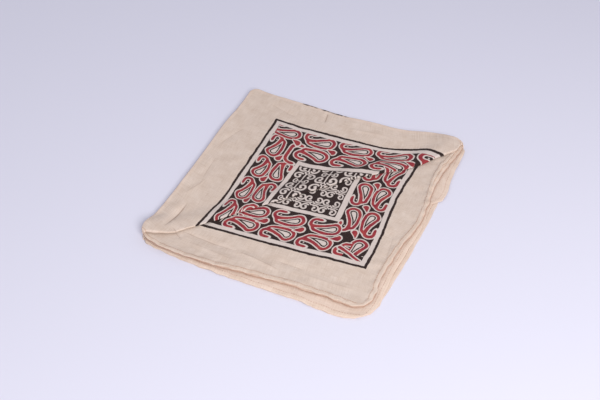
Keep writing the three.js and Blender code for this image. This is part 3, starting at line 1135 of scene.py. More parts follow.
@dataclass
class HemStitches:
    """The running stitches that hold the four hems, on both sides of the cloth.

    Attributes:
        pitch: Distance from one stitch to the next, in millimetres.
        size: Length, width and height of a stitch, in millimetres.
        sunk: How deep its middle sits in the cloth, in millimetres.
        thread: Its colour.
        end_margin: How far from a hem's ends the stitches stop, in millimetres.
        unevenness: How much their sizes differ, as a share.
        seed: Which uneven sizes they have.
    """

    pitch: float = 2.7
    size: tuple[float, float, float] = (1.9, 0.46, 0.36)
    sunk: float = 0.02
    thread: Colour = linear(178, 132, 112)
    end_margin: float = 9
    unevenness: float = 0.25
    seed: int = 4

    def _laid(self, surface: Surface, thickness: float) -> tuple[np.ndarray, np.ndarray, np.ndarray]:
        """Where each stitch sits.

        Args:
            surface: The cloth's middle surface.
            thickness: The cloth's thickness under the stitches.

        Returns:
            Middles in millimetres, unit directions along the hem, and unit directions off the cloth.
        """
        normals = surface.normals()
        middles, runs, ups = [], [], []
        for seam in surface.seams:
            line = surface.points[seam.first] * (1 - seam.share) + surface.points[seam.second] * seam.share
            up = normals[seam.first] * (1 - seam.share) + normals[seam.second] * seam.share
            steps = np.diff(line, axis=0)
            gone = np.concatenate([[0], np.cumsum(np.linalg.norm(steps, axis=1))])
            at = np.arange(self.end_margin, gone[-1] - self.end_margin, self.pitch)
            at = at[np.interp(at, gone, seam.clear.astype(float)) > 0.99]
            middle = np.stack([np.interp(at, gone, line[:, axis]) for axis in range(3)], axis=-1)
            off = np.stack([np.interp(at, gone, up[:, axis]) for axis in range(3)], axis=-1)
            run = steps[np.clip(np.searchsorted(gone, at) - 1, 0, len(steps) - 1)]
            for side in (1, -1):
                middles.append(middle + side * (thickness / 2 - self.sunk) * off)
                runs.append(run)
                ups.append(side * off)
        directions = [np.concatenate(part) for part in (runs, ups)]
        run, up = (part / np.linalg.norm(part, axis=1, keepdims=True) for part in directions)
        return np.concatenate(middles), run, up

    def _tree(self, material: bpy.types.Material) -> bpy.types.NodeTree:
        """The nodes that sew one stitch at each point.

        Args:
            material: The thread's.

        Returns:
            The node tree, with inputs for a stitch's size and how uneven they are.
        """
        tree = bpy.data.node_groups.new("hem_stitches", "GeometryNodeTree")
        face = tree.interface
        face.new_socket("Geometry", in_out="INPUT", socket_type="NodeSocketGeometry")
        face.new_socket("Stitch size", in_out="INPUT", socket_type="NodeSocketVector")
        face.new_socket("Unevenness", in_out="INPUT", socket_type="NodeSocketFloat")
        face.new_socket("Geometry", in_out="OUTPUT", socket_type="NodeSocketGeometry")
        nodes, links = tree.nodes, tree.links
        start, end = nodes.new("NodeGroupInput"), nodes.new("NodeGroupOutput")
        stitch = nodes.new("GeometryNodeMeshUVSphere")
        stitch.inputs["Segments"].default_value = 6
        stitch.inputs["Rings"].default_value = 3
        stitch.inputs["Radius"].default_value = 0.5
        turned = None
        for name, axis in (("run", "X"), ("up", "Z")):
            direction = nodes.new("GeometryNodeInputNamedAttribute")
            direction.data_type = "FLOAT_VECTOR"
            direction.inputs["Name"].default_value = name
            align = nodes.new("FunctionNodeAlignRotationToVector")
            align.axis = axis
            align.pivot_axis = "AUTO" if turned is None else "X"
            links.new(direction.outputs["Attribute"], align.inputs["Vector"])
            if turned is not None:
                links.new(turned, align.inputs["Rotation"])
            turned = align.outputs["Rotation"]
        spread = nodes.new("FunctionNodeRandomValue")
        spread.data_type = "FLOAT"
        spread.inputs["Seed"].default_value = self.seed
        low, high = (nodes.new("ShaderNodeMath") for _ in range(2))
        for node, operation, slot in ((low, "SUBTRACT", 2), (high, "ADD", 3)):
            node.operation = operation
            node.inputs[0].default_value = 1.0
            links.new(start.outputs["Unevenness"], node.inputs[1])
            links.new(node.outputs[0], spread.inputs[slot])
        scale = nodes.new("ShaderNodeVectorMath")
        scale.operation = "SCALE"
        links.new(start.outputs["Stitch size"], scale.inputs[0])
        links.new(spread.outputs[1], scale.inputs["Scale"])
        sewn = nodes.new("GeometryNodeInstanceOnPoints")
        links.new(start.outputs["Geometry"], sewn.inputs["Points"])
        links.new(stitch.outputs["Mesh"], sewn.inputs["Instance"])
        links.new(turned, sewn.inputs["Rotation"])
        links.new(scale.outputs[0], sewn.inputs["Scale"])
        real = nodes.new("GeometryNodeRealizeInstances")
        links.new(sewn.outputs["Instances"], real.inputs["Geometry"])
        dyed = nodes.new("GeometryNodeSetMaterial")
        dyed.inputs["Material"].default_value = material
        links.new(real.outputs["Geometry"], dyed.inputs["Geometry"])
        links.new(dyed.outputs["Geometry"], end.inputs["Geometry"])
        return tree

    def build(self, surface: Surface, thickness: float) -> bpy.types.Object:
        """Sews the stitches.

        Args:
            surface: The cloth's middle surface.
            thickness: The cloth's thickness under the stitches.

        Returns:
            The finished object.
        """
        middles, run, up = self._laid(surface, thickness)
        base = bpy.data.meshes.new("stitch_places")
        base.from_pydata((middles * MM).tolist(), [], [])
        for name, values in (("run", run), ("up", up)):
            attribute = base.attributes.new(name, "FLOAT_VECTOR", "POINT")
            attribute.data.foreach_set("vector", values.astype(np.float32).ravel())
        piece = placed("hem_stitches", base)
        material = new_material("hem_thread", {"Base Color": self.thread, "Roughness": 0.9})
        modifier = piece.modifiers.new("sewn", "NODES")
        modifier.node_group = self._tree(material)
        sockets = {item.name: item.identifier for item in modifier.node_group.interface.items_tree}
        modifier[sockets["Stitch size"]] = tuple(side * MM for side in self.size)
        modifier[sockets["Unevenness"]] = self.unevenness
        view_layer = bpy.context.view_layer
        view_layer.update()
        evaluated = piece.evaluated_get(bpy.context.evaluated_depsgraph_get())
        mesh = bpy.data.meshes.new_from_object(evaluated)
        piece.modifiers.remove(modifier)
        piece.data = mesh
        for attribute_name in ("run", "up"):
            if attribute_name in mesh.attributes:
                mesh.attributes.remove(mesh.attributes[attribute_name])
        mesh.polygons.foreach_set("use_smooth", np.ones(len(mesh.polygons), bool))
        return piece


@dataclass(frozen=True)
class AreaLight:
    """A soft round light that looks at the bandana.

    Attributes:
        name: Its name.
        place: Where it hangs, in metres.
        size: Its width, in metres.
        power: In watts.
        colour: Linear red, green and blue.
    """

    name: str
    place: tuple[float, float, float]
    size: float
    power: float
    colour: tuple[float, float, float]

    def build(self) -> None:
        """Hangs it."""
        data = bpy.data.lights.new(self.name, "AREA")
        data.shape = "DISK"
        data.size = self.size
        data.energy = self.power
        data.color = self.colour
        light = placed(self.name, data)
        light.location = self.place
        light.rotation_mode = "QUATERNION"
        light.rotation_quaternion = (-Vector(self.place)).to_track_quat("-Z", "Y")


@dataclass
class Studio:
    """The pale floor, the soft lights and the camera at the photograph's angle.

    Attributes:
        floor_size: The floor's side, in metres.
        floor_colour: Its colour.
        room_colour: Colour of the light that comes from all round.
        room_light: That light's strength.
        lights: The soft lights.
        lens: The camera's focal length, in millimetres.
        sensor: Width of its picture, in millimetres.
        camera_place: Where it stands, in metres.
        camera_turn: Its turns round X, Y and Z, in degrees.
    """

    floor_size: float = 6.0
    floor_colour: Colour = linear(216, 215, 229)
    room_colour: Colour = linear(238, 238, 248)
    room_light: float = 0.58
    lights: tuple[AreaLight, ...] = (
        AreaLight("window", (0.95, -1.05, 1.05), 0.9, 28, (1.0, 0.985, 0.965)),
        AreaLight("bounce", (-0.9, 0.5, 1.5), 1.6, 3, (0.95, 0.97, 1.0)),
    )
    lens: float = 51
    sensor: float = 36
    camera_place: tuple[float, float, float] = (0.2872, -0.6522, 0.6157)
    camera_turn: tuple[float, float, float] = (48.5, 0, 24.5)

    def _floor(self) -> None:
        """Lays the floor."""
        half = self.floor_size / 2
        mesh = bpy.data.meshes.new("floor")
        mesh.from_pydata(
            [(-half, -half, 0), (half, -half, 0), (half, half, 0), (-half, half, 0)], [], [(0, 1, 2, 3)]
        )
        values = {"Base Color": self.floor_colour, "Roughness": 0.9}
        mesh.materials.append(new_material("pale_floor", values))
        plane = placed("floor", mesh)

    def _camera(self) -> None:
        """Sets up the camera."""
        data = bpy.data.cameras.new("camera")
        data.lens = self.lens
        data.sensor_width = self.sensor
        camera = placed("camera", data)
        camera.location = self.camera_place
        camera.rotation_euler = tuple(math.radians(turn) for turn in self.camera_turn)
        bpy.context.scene.camera = camera

    def _room(self) -> None:
        """Lights the room from all round."""
        world = bpy.data.worlds.new("soft_room")
        world.use_nodes = True
        background = world.node_tree.nodes["Background"]
        background.inputs["Color"].default_value = self.room_colour
        background.inputs["Strength"].default_value = self.room_light
        bpy.context.scene.world = world
        bpy.context.scene.view_settings.view_transform = "Standard"

    def build(self) -> None:
        """Makes the whole stage."""
        self._room()
        self._floor()
        for light in self.lights:
            light.build()
        self._camera()


class Field:
    """A number at each point of the cloth: a node's output, with arithmetic."""

    def __init__(self, tree: bpy.types.NodeTree, socket: Socket) -> None:
        """Wraps one output.

        Args:
            tree: The tree that its nodes go in.
            socket: The output that holds the number.
        """
        self.tree = tree
        self.socket = socket

    def _math(self, operation: str, *values: "Field | float", clamp: bool = False) -> "Field":
        """Adds one Math node.

        Args:
            operation: What it does.
            values: Its inputs in order.
            clamp: True to keep the result between 0 and 1.

        Returns:
            The result.
        """
        node = self.tree.nodes.new("ShaderNodeMath")
        node.operation = operation
        node.use_clamp = clamp
        for slot, value in zip(node.inputs, values):
            if isinstance(value, Field):
                self.tree.links.new(value.socket, slot)
            else:
                slot.default_value = value
        return Field(self.tree, node.outputs[0])

    def __add__(self, other: "Field | float") -> "Field":
        """The sum."""
        return self._math("ADD", self, other)

    __radd__ = __add__

    def __sub__(self, other: "Field | float") -> "Field":
        """The difference."""
        return self._math("SUBTRACT", self, other)

    def __rsub__(self, other: float) -> "Field":
        """The difference."""
        return self._math("SUBTRACT", other, self)

    def __mul__(self, other: "Field | float") -> "Field":
        """The product."""
        return self._math("MULTIPLY", self, other)

    __rmul__ = __mul__

    def __truediv__(self, other: "Field | float") -> "Field":
        """The quotient."""
        return self._math("DIVIDE", self, other)

    def __rtruediv__(self, other: float) -> "Field":
        """The quotient."""
        return self._math("DIVIDE", other, self)

    def __abs__(self) -> "Field":
        """The size without its sign."""
        return self._math("ABSOLUTE", self)

    def least(self, other: "Field | float") -> "Field":
        """The smaller of two."""
        return self._math("MINIMUM", self, other)

    def most(self, other: "Field | float") -> "Field":
        """The larger of two."""
        return self._math("MAXIMUM", self, other)

    def melted(self, other: "Field", reach: float) -> "Field":
        """The smaller of two, rounded where they are alike."""
        return self._math("SMOOTH_MIN", self, other, reach)

    def share(self) -> "Field":
        """The value kept between 0 and 1."""
        return self._math("ADD", self, 0.0, clamp=True)

    def beyond(self, other: "Field | float") -> "Field":
        """1 where it is more than the other, and else 0."""
        return self._math("GREATER_THAN", self, other)

    def repeated(self, pitch: "Field | float") -> "Field":
        """How far it lies from the nearest whole number of pitches."""
        half = pitch * 0.5
        return self._math("FLOORED_MODULO", self + half, pitch) - half

    def with_leg(self, other: "Field") -> "Field":
        """The length whose two legs these are."""
        return self._math("SQRT", self._math("MULTIPLY_ADD", self, self, other * other))

    def sine(self) -> "Field":
        """The sine, of radians."""
        return self._math("SINE", self)

    def under(self, edge: "Field | float", soft: float = 0.22) -> "Field":
        """1 where it is less than an edge and 0 where it is more, with a soft step between.

        Args:
            edge: Where the step is.
            soft: Half the step's width.

        Returns:
            The share, from 0 to 1.
        """
        return self._math("MULTIPLY_ADD", self - edge, -0.5 / soft, 0.5, clamp=True)


def chosen(flag: Field, if_not: Field | float, if_so: Field | float) -> Field | float:
    """Picks one of two values.

    Args:
        flag: 1 to pick the second, and else 0.
        if_not: The first value.
        if_so: The second value.

    Returns:
        The value picked.
    """
    if if_not == if_so:
        return if_not
    return flag * (if_so - if_not) + if_not


def along_line(
    x: Field, y: Field, start: Pair, end: Pair
) -> tuple[Field, Field]:
    """How a place lies to a straight line between two points.

    Args:
        x: The place's X.
        y: The place's Y.
        start: The line's first end.
        end: Its other end.

    Returns:
        The distance to the line's nearest point, and that point's share of the way along.
    """
    run_x, run_y = end[0] - start[0], end[1] - start[1]
    square = run_x**2 + run_y**2
    from_x, from_y = x - start[0], y - start[1]
    share = (from_x * (run_x / square) + from_y * (run_y / square)).share()
    return (from_x - share * run_x).with_leg(from_y - share * run_y), share


class Blend(Enum):
    """How one colour goes over another."""

    MIX = "MIX"
    MULTIPLY = "MULTIPLY"


class ClothNodes:
    """A material's node tree, with the readings and mixes that the cloth's finish is made of."""

    def __init__(self, tree: bpy.types.NodeTree) -> None:
        """Wraps a material's node tree."""
        self.tree = tree

    def _fill(
        self, slot: Socket, value: Field | Socket | Colour | float
    ) -> None:
        """Links a node's output to an input, or sets a plain value there.

        Args:
            slot: The input.
            value: The output or the value.
        """
        source = value.socket if isinstance(value, Field) else value
        if isinstance(source, Socket):
            self.tree.links.new(source, slot)
        else:
            slot.default_value = source

    def vector(
        self, operation: str, inputs: dict[int, Socket | tuple[float, ...] | float]
    ) -> Socket:
        """Adds one Vector Math node.

        Args:
            operation: What it does.
            inputs: Its inputs by their number.

        Returns:
            The result.
        """
        node = self.tree.nodes.new("ShaderNodeVectorMath")
        node.operation = operation
        for number, value in inputs.items():
            self._fill(node.inputs[number], value)
        return node.outputs[0]

    def place(self, name: str) -> Socket:
        """A UV map's place, in millimetres."""
        source = self.tree.nodes.new("ShaderNodeUVMap")
        source.uv_map = name
        return self.vector("SCALE", {0: source.outputs[0], 3: 1 / MM})

    def split(self, place: Socket) -> tuple[Field, Field]:
        """A place's X and Y."""
        parts = self.tree.nodes.new("ShaderNodeSeparateXYZ")
        self.tree.links.new(place, parts.inputs[0])
        return Field(self.tree, parts.outputs[0]), Field(self.tree, parts.outputs[1])

    def carried(self, name: str) -> Field:
        """What each point of the cloth carries under a name."""
        node = self.tree.nodes.new("ShaderNodeAttribute")
        node.attribute_name = name
        return Field(self.tree, node.outputs["Fac"])

    def noise(
        self, place: Socket, width: float, height: float, detail: float = 2.0
    ) -> bpy.types.Node:
        """Adds uneven noise.

        Args:
            place: Where it is read.
            width: Its grains' size along X, in millimetres.
            height: The same along Y.
            detail: How much finer noise it has in it.

        Returns:
            The noise's node.
        """
        node = self.tree.nodes.new("ShaderNodeTexNoise")
        node.inputs["Scale"].default_value = 1
        node.inputs["Detail"].default_value = detail
        scaled = self.vector("MULTIPLY", {0: place, 1: (1 / width, 1 / height, 1)})
        self.tree.links.new(scaled, node.inputs["Vector"])
        return node

    def grain(self, place: Socket, width: float, height: float, detail: float) -> Field:
        """The same noise as one number, mostly near 0.5."""
        return Field(self.tree, self.noise(place, width, height, detail).outputs["Fac"])

    def shaken(self, place: Socket, size: float, reach: float) -> Socket:
        """A place moved unevenly, as an inked block's edges are.

        Args:
            place: The place.
            size: How soon the moves change, in millimetres.
            reach: How far they go.

        Returns:
            The place moved.
        """
        centred = self.vector(
            "SUBTRACT", {0: self.noise(place, size, size).outputs["Color"], 1: (0.5, 0.5, 0.5)}
        )
        return self.vector("MULTIPLY_ADD", {0: centred, 1: (reach, reach, 0), 2: place})

    def mixed(
        self,
        share: Field,
        first: Socket | Colour,
        second: Socket | Colour,
        blend: Blend = Blend.MIX,
    ) -> Socket:
        """Mixes two colours.

        Args:
            share: How much of the second, from 0 to 1.
            first: A colour, or an output that gives one.
            second: The other.
            blend: How they are mixed.

        Returns:
            The output that gives the result.
        """
        node = self.tree.nodes.new("ShaderNodeMix")
        node.data_type = "RGBA"
        node.blend_type = blend.value
        for number, value in ((0, share), (6, first), (7, second)):
            self._fill(node.inputs[number], value)
        return node.outputs[2]


@dataclass(frozen=True)
class Inks:
    """The block print's colours."""

    black: Colour = linear(34, 19, 19)
    red: Colour = linear(132, 28, 46)
    rust: Colour = linear(160, 58, 58)
    bare: Colour = linear(207, 194, 187)


@dataclass(frozen=True)
class Leaf:
    """A curled leaf of the border, from its own centre, in millimetres.

    Attributes:
        bulge: Centre of its round end.
        bulge_radius: That end's radius.
        waist: Where its body meets its tail.
        waist_radius: The body's half width there.
        bow: How far the body's middle bends toward the border's middle.
        bow_reach: How far along the bend goes, squared.
        hook: Centre of the half ring that its tail curls round.
        hook_radius: That ring's radius.
        hook_width: The tail's half width.
        tail_start: How far past the ring's centre the tail starts to run out.
        taper: How slowly the tail runs out, smaller being longer.
        outline: Width of its pale outline.
        rings: How deep in its body the pale core, the black ring and the pale ring end, below 0.
        eye: Centre of the pale dot in its hook, and how much the dot is squeezed along Y.
        eye_radius: That dot's radius.
    """

    bulge: Pair = (10.4, 11.6)
    bulge_radius: float = 10.6
    waist: Pair = (-9.2, 8.0)
    waist_radius: float = 5.8
    bow: float = 1.7
    bow_reach: float = 170
    hook: Pair = (-11.6, 15.2)
    hook_radius: float = 5.4
    hook_width: float = 3.2
    tail_start: float = 3.0
    taper: float = 0.5
    outline: float = 1.35
    rings: tuple[float, float, float] = (-7.7, -6.1, -5.0)
    eye: Pair = (-10.0, 15.2)
    eye_squeeze: float = 1.3
    eye_radius: float = 0.9

    def distances(self, along: Field, across: Field) -> tuple[Field, Field]:
        """How far a place lies outside the whole leaf, and outside its body alone; below 0 is inside.

        Args:
            along: Place along the border, toward the round end.
            across: Place away from the border's middle.

        Returns:
            The two distances.
        """
        bent = across + (1.0 - along * along * (1 / self.bow_reach)).share() * self.bow
        gap, share = along_line(along, bent, self.bulge, self.waist)
        body = gap + share * (self.bulge_radius - self.waist_radius) - self.bulge_radius
        hook_x, hook_y = along - self.hook[0], across - self.hook[1]
        ring = hook_x.least(0.0).with_leg(hook_y) - self.hook_radius
        tail = ((hook_x - self.tail_start).most(0.0) * self.taper).with_leg(ring) - self.hook_width
        return body.melted(tail, 4.0), body

    def eye_distance(self, along: Field, across: Field) -> Field:
        """How far a place lies outside the dot in the hook."""
        squeezed = (across - self.eye[1]) * self.eye_squeeze
        return (along - self.eye[0]).with_leg(squeezed) - self.eye_radius


@dataclass(frozen=True)
class Bud:
    """A small red bud between the leaves, from its own centre, in millimetres.

    Attributes:
        tip: Centre of its thin end.
        run: From there to the centre of its round end.
        tip_radius: The thin end's radius.
        growth: How much larger the round end's radius is.
        outline: Width of its pale outline.
    """

    tip: Pair = (-5.6, 2.4)
    run: Pair = (6.8, -3.0)
    tip_radius: float = 2.0
    growth: float = 3.2
    outline: float = 1.6

    def distance(self, along: Field, across: Field) -> Field:
        """How far a place lies outside the bud.

        Args:
            along: Place along the border.
            across: Place from the border's middle.

        Returns:
            The distance, below 0 inside.
        """
        from_x, from_y = along - self.tip[0], across - self.tip[1]
        share = (from_x * (1 / self.run[0])).share()
        gap = (from_x - share * self.run[0]).with_leg(from_y - share * self.run[1])
        return gap - share * self.growth - self.tip_radius


@dataclass(frozen=True)
class LoneHook:
    """A bent red stroke that stands alone in the border's far left corner.

    Attributes:
        centre: Its middle, from the print's centre.
        straight: Half the length of its straight part.
        radius: The radius of its two bends.
        width: The stroke's half width.
        tail_start: How far past its middle each end starts to run out.
        taper: How slowly the ends run out.
        outline: Width of its pale outline.
    """

    centre: Pair = (-55.5, 55.5)
    straight: float = 7.5
    radius: float = 7.6
    width: float = 3.4
    tail_start: float = 2.0
    taper: float = 0.5
    outline: float = 1.4

    def distance(self, x: Field, y: Field) -> Field:
        """How far a place lies outside the stroke.

        Args:
            x: Place from the print's centre.
            y: The same, toward the far side.

        Returns:
            The distance, below 0 inside.
        """
        across = x - self.centre[0]
        past_straight = (abs(y - self.centre[1]) - self.straight).most(0.0)
        ring = across.least(0.0).with_leg(past_straight) - self.radius
        return ((across - self.tail_start).most(0.0) * self.taper).with_leg(ring) - self.width


@dataclass(frozen=True)
class CornerTail:
    """A long tail that runs into the border's near right corner, past the last leaf.

    Attributes:
        start: Where it starts, from the print's centre.
        end: Where it ends.
        width: Its half width at the start.
        thinning: How much less that is at the end.
        outline: Width of its pale outline.
        ground: The ink round it is black to the right of this X and below this Y.
    """

    start: Pair = (64.0, -81.0)
    end: Pair = (91.0, -93.5)
    width: float = 3.2
    thinning: float = 0.7
    outline: float = 1.35
    ground: Pair = (71.0, -86.0)

    def distance(self, x: Field, y: Field) -> Field:
        """How far a place lies outside the tail."""
        gap, share = along_line(x, y, self.start, self.end)
        return gap + share * self.thinning - self.width


@dataclass(frozen=True)
class LeafLine:
    """One line of leaves along a side of the border, in millimetres from the print's centre.

    Attributes:
        leaf: Where one of its leaves stands.
        start: Where the line starts.
        end: Where it ends.
    """

    leaf: float
    start: float
    end: float


@dataclass(frozen=True)
class BorderSide:
    """One side of the border: two lines of leaves, back to back, with buds between them.

    Attributes:
        middle: How far its middle lies from the print's centre.
        pitch: Distance from one leaf to the next.
        toward: 1 where the leaves' round ends point along X or Y, and -1 where they point back.
        inner: The line nearer to the print's centre.
        outer: The other line.
        bud: Where one of its buds stands.
        bud_pitch: Distance from one bud to the next.
        bud_end: How far from the print's centre its buds go on.
    """

    middle: float
    pitch: float
    toward: float
    inner: LeafLine
    outer: LeafLine
    bud: float
    bud_pitch: float
    bud_end: float

    def lines(self) -> tuple[Pair, ...]:
        """Where a leaf stands, where the line starts and where it ends, each for the inner and outer line."""
        return (
            (self.inner.leaf, self.outer.leaf),
            (self.inner.start, self.outer.start),
            (self.inner.end, self.outer.end),
        )


@dataclass(frozen=True)
class Scroll:
    """A scroll of the square: an arc that springs from a diamond and curls back in to its eye.

    Attributes:
        lean: Unit direction from where it springs, through its eye.
        radius: The outer arc's radius.
        inner_radius: The inner arc's radius.
        width: The stroke's half width.
        eye: The eye's radius.
    """

    lean: Pair = (0.78, 0.626)
    radius: float = 3.7
    inner_radius: float = 2.25
    width: float = 0.84
    eye: float = 1.3

    def mask(self, from_x: Field, from_y: Field) -> Field:
        """1 on the scroll's stroke, and else 0.

        Args:
            from_x: Place from the scroll's middle.
            from_y: The same, toward the far side.

        Returns:
            The mask.
        """
        along = from_x * self.lean[0] + from_y * self.lean[1]
        side = from_y * self.lean[0] - from_x * self.lean[1]
        outer = side.least(0.0).with_leg(side.most(0.0).with_leg(along) - self.radius)
        shifted = along - (self.radius - self.inner_radius)
        inner = side.most(0.0).with_leg(side.least(0.0).with_leg(shifted) - self.inner_radius)
        eye = (shifted + self.inner_radius).with_leg(side) - (self.eye - self.width)
        return outer.least(inner).least(eye).under(self.width, 0.3)


@dataclass(frozen=True)
class Diamonds:
    """How the small diamonds and their scrolls repeat on half of the square, in millimetres.

    Attributes:
        cell: Width and depth of one repeat.
        start: A diamond's place, from the print's centre.
        eye: A scroll's middle, from its diamond.
        scale: The scrolls' size.
    """

    cell: Pair
    start: Pair
    eye: Pair
    scale: float


@dataclass(frozen=True)
class ScrollSquare:
    """The square's pale lines: four scrolls round each small diamond, joined by stems.

    On the near half of the cloth the stems run along X, and on the far half along Y, where they carry two
    more scrolls between one diamond and the next.

    Attributes:
        near: The near half's repeats.
        far: The far half's, where every other column is moved by half a repeat.
        pleat_slope: Lean of the line between the halves.
        pleat_rise: That line's height over the print's centre.
        pair_eye: How far the two scrolls on a far stem lie from it.
        pair_shrink: How much smaller they are.
        diamond: Distance to a diamond's inner and outer edge.
        stem: A far stem's half width.
        near_stem: A near stem's half width.
        bar: Half the length of the bar across a far stem.
    """

    scroll: Scroll = Scroll()
    near: Diamonds = Diamonds((20.6, 26.4), (9.8, -28.4), (5.4, 6.7), 1.15)
    far: Diamonds = Diamonds((26.4, 34.5), (-1.0, 15.0), (6.6, 6.7), 1.32)
    pleat_slope: float = 0.86
    pleat_rise: float = 4.0
    pair_eye: float = 5.6
    pair_shrink: float = 1.15
    diamond: Pair = (1.7, 3.7)
    stem: float = 0.7
    near_stem: float = 0.6
    bar: float = 3.4

    def lines(self, x: Field, y: Field) -> Field:
        """1 on a line, and else 0.

        Args:
            x: Place from the print's centre.
            y: The same, toward the far side.

        Returns:
            The mask.
        """
        in_far = (y - x * self.pleat_slope).beyond(self.pleat_rise)
        in_near = 1.0 - in_far
        wide, tall = self.far.cell
        from_x, from_y = x - self.far.start[0], y - self.far.start[1]
        odd = abs(from_x.repeated(wide * 2)).beyond(wide / 2)
        far_up = (from_y - odd * (tall / 2)).repeated(tall)
        far_across = abs(from_x.repeated(wide))
        near_across = abs((x - self.near.start[0]).repeated(self.near.cell[0]))
        near_up = abs((y - self.near.start[1]).repeated(self.near.cell[1]))
        across = in_near * near_across + in_far * far_across
        up = in_near * near_up + in_far * abs(far_up)
        eye_x = across - chosen(in_far, self.near.eye[0], self.far.eye[0])
        eye_y = up - chosen(in_far, self.near.eye[1], self.far.eye[1])
        scale = chosen(in_far, self.near.scale, self.far.scale)
        scrolls = self.scroll.mask(eye_y / scale, eye_x / scale)
        between = (far_up + tall / 2).repeated(tall)
        beside = (far_across - self.pair_eye) * self.pair_shrink
        pairs = self.scroll.mask(between * self.pair_shrink, beside) * in_far
        ring = (across + up).under(self.diamond[1])
        hollow = 1.0 - (across + up).under(self.diamond[0])
        stems = (across.under(self.stem) * in_far).most(up.under(self.near_stem) * in_near)
        bars = abs(between).under(self.stem) * far_across.under(self.bar) * in_far
        return scrolls.most(pairs).most(ring).most(stems).most(bars) * hollow


class Impression:
    """The border's colour as it builds up, one shape over another, from black."""

    def __init__(self, nodes: ClothNodes, inks: Inks, uneven: Field) -> None:
        """Starts a print.

        Args:
            nodes: The material's nodes.
            inks: The print's colours.
            uneven: Soft noise from 0 to 1, which the red ink follows.
        """
        self.nodes = nodes
        self.inks = inks
        self.colour: Socket | Colour = inks.black
        self.red = nodes.mixed((uneven * 3.0 - 1.1).share(), inks.red, inks.rust)

    def lay(self, share: Field, ink: Socket | Colour) -> None:
        """Prints an ink over what is there, by its share."""
        self.colour = self.nodes.mixed(share, self.colour, ink)

    def shape(self, distance: Field, outline: float, shown: Field | float = 1.0) -> None:
        """Prints a red shape with a pale outline.

        Args:
            distance: How far a place lies outside the shape.
            outline: The outline's width.
            shown: 1 where the shape is printed, and else 0.
        """
        self.lay(distance.under(0.0) * shown, self.inks.bare)
        self.lay(distance.under(-outline) * shown, self.red)


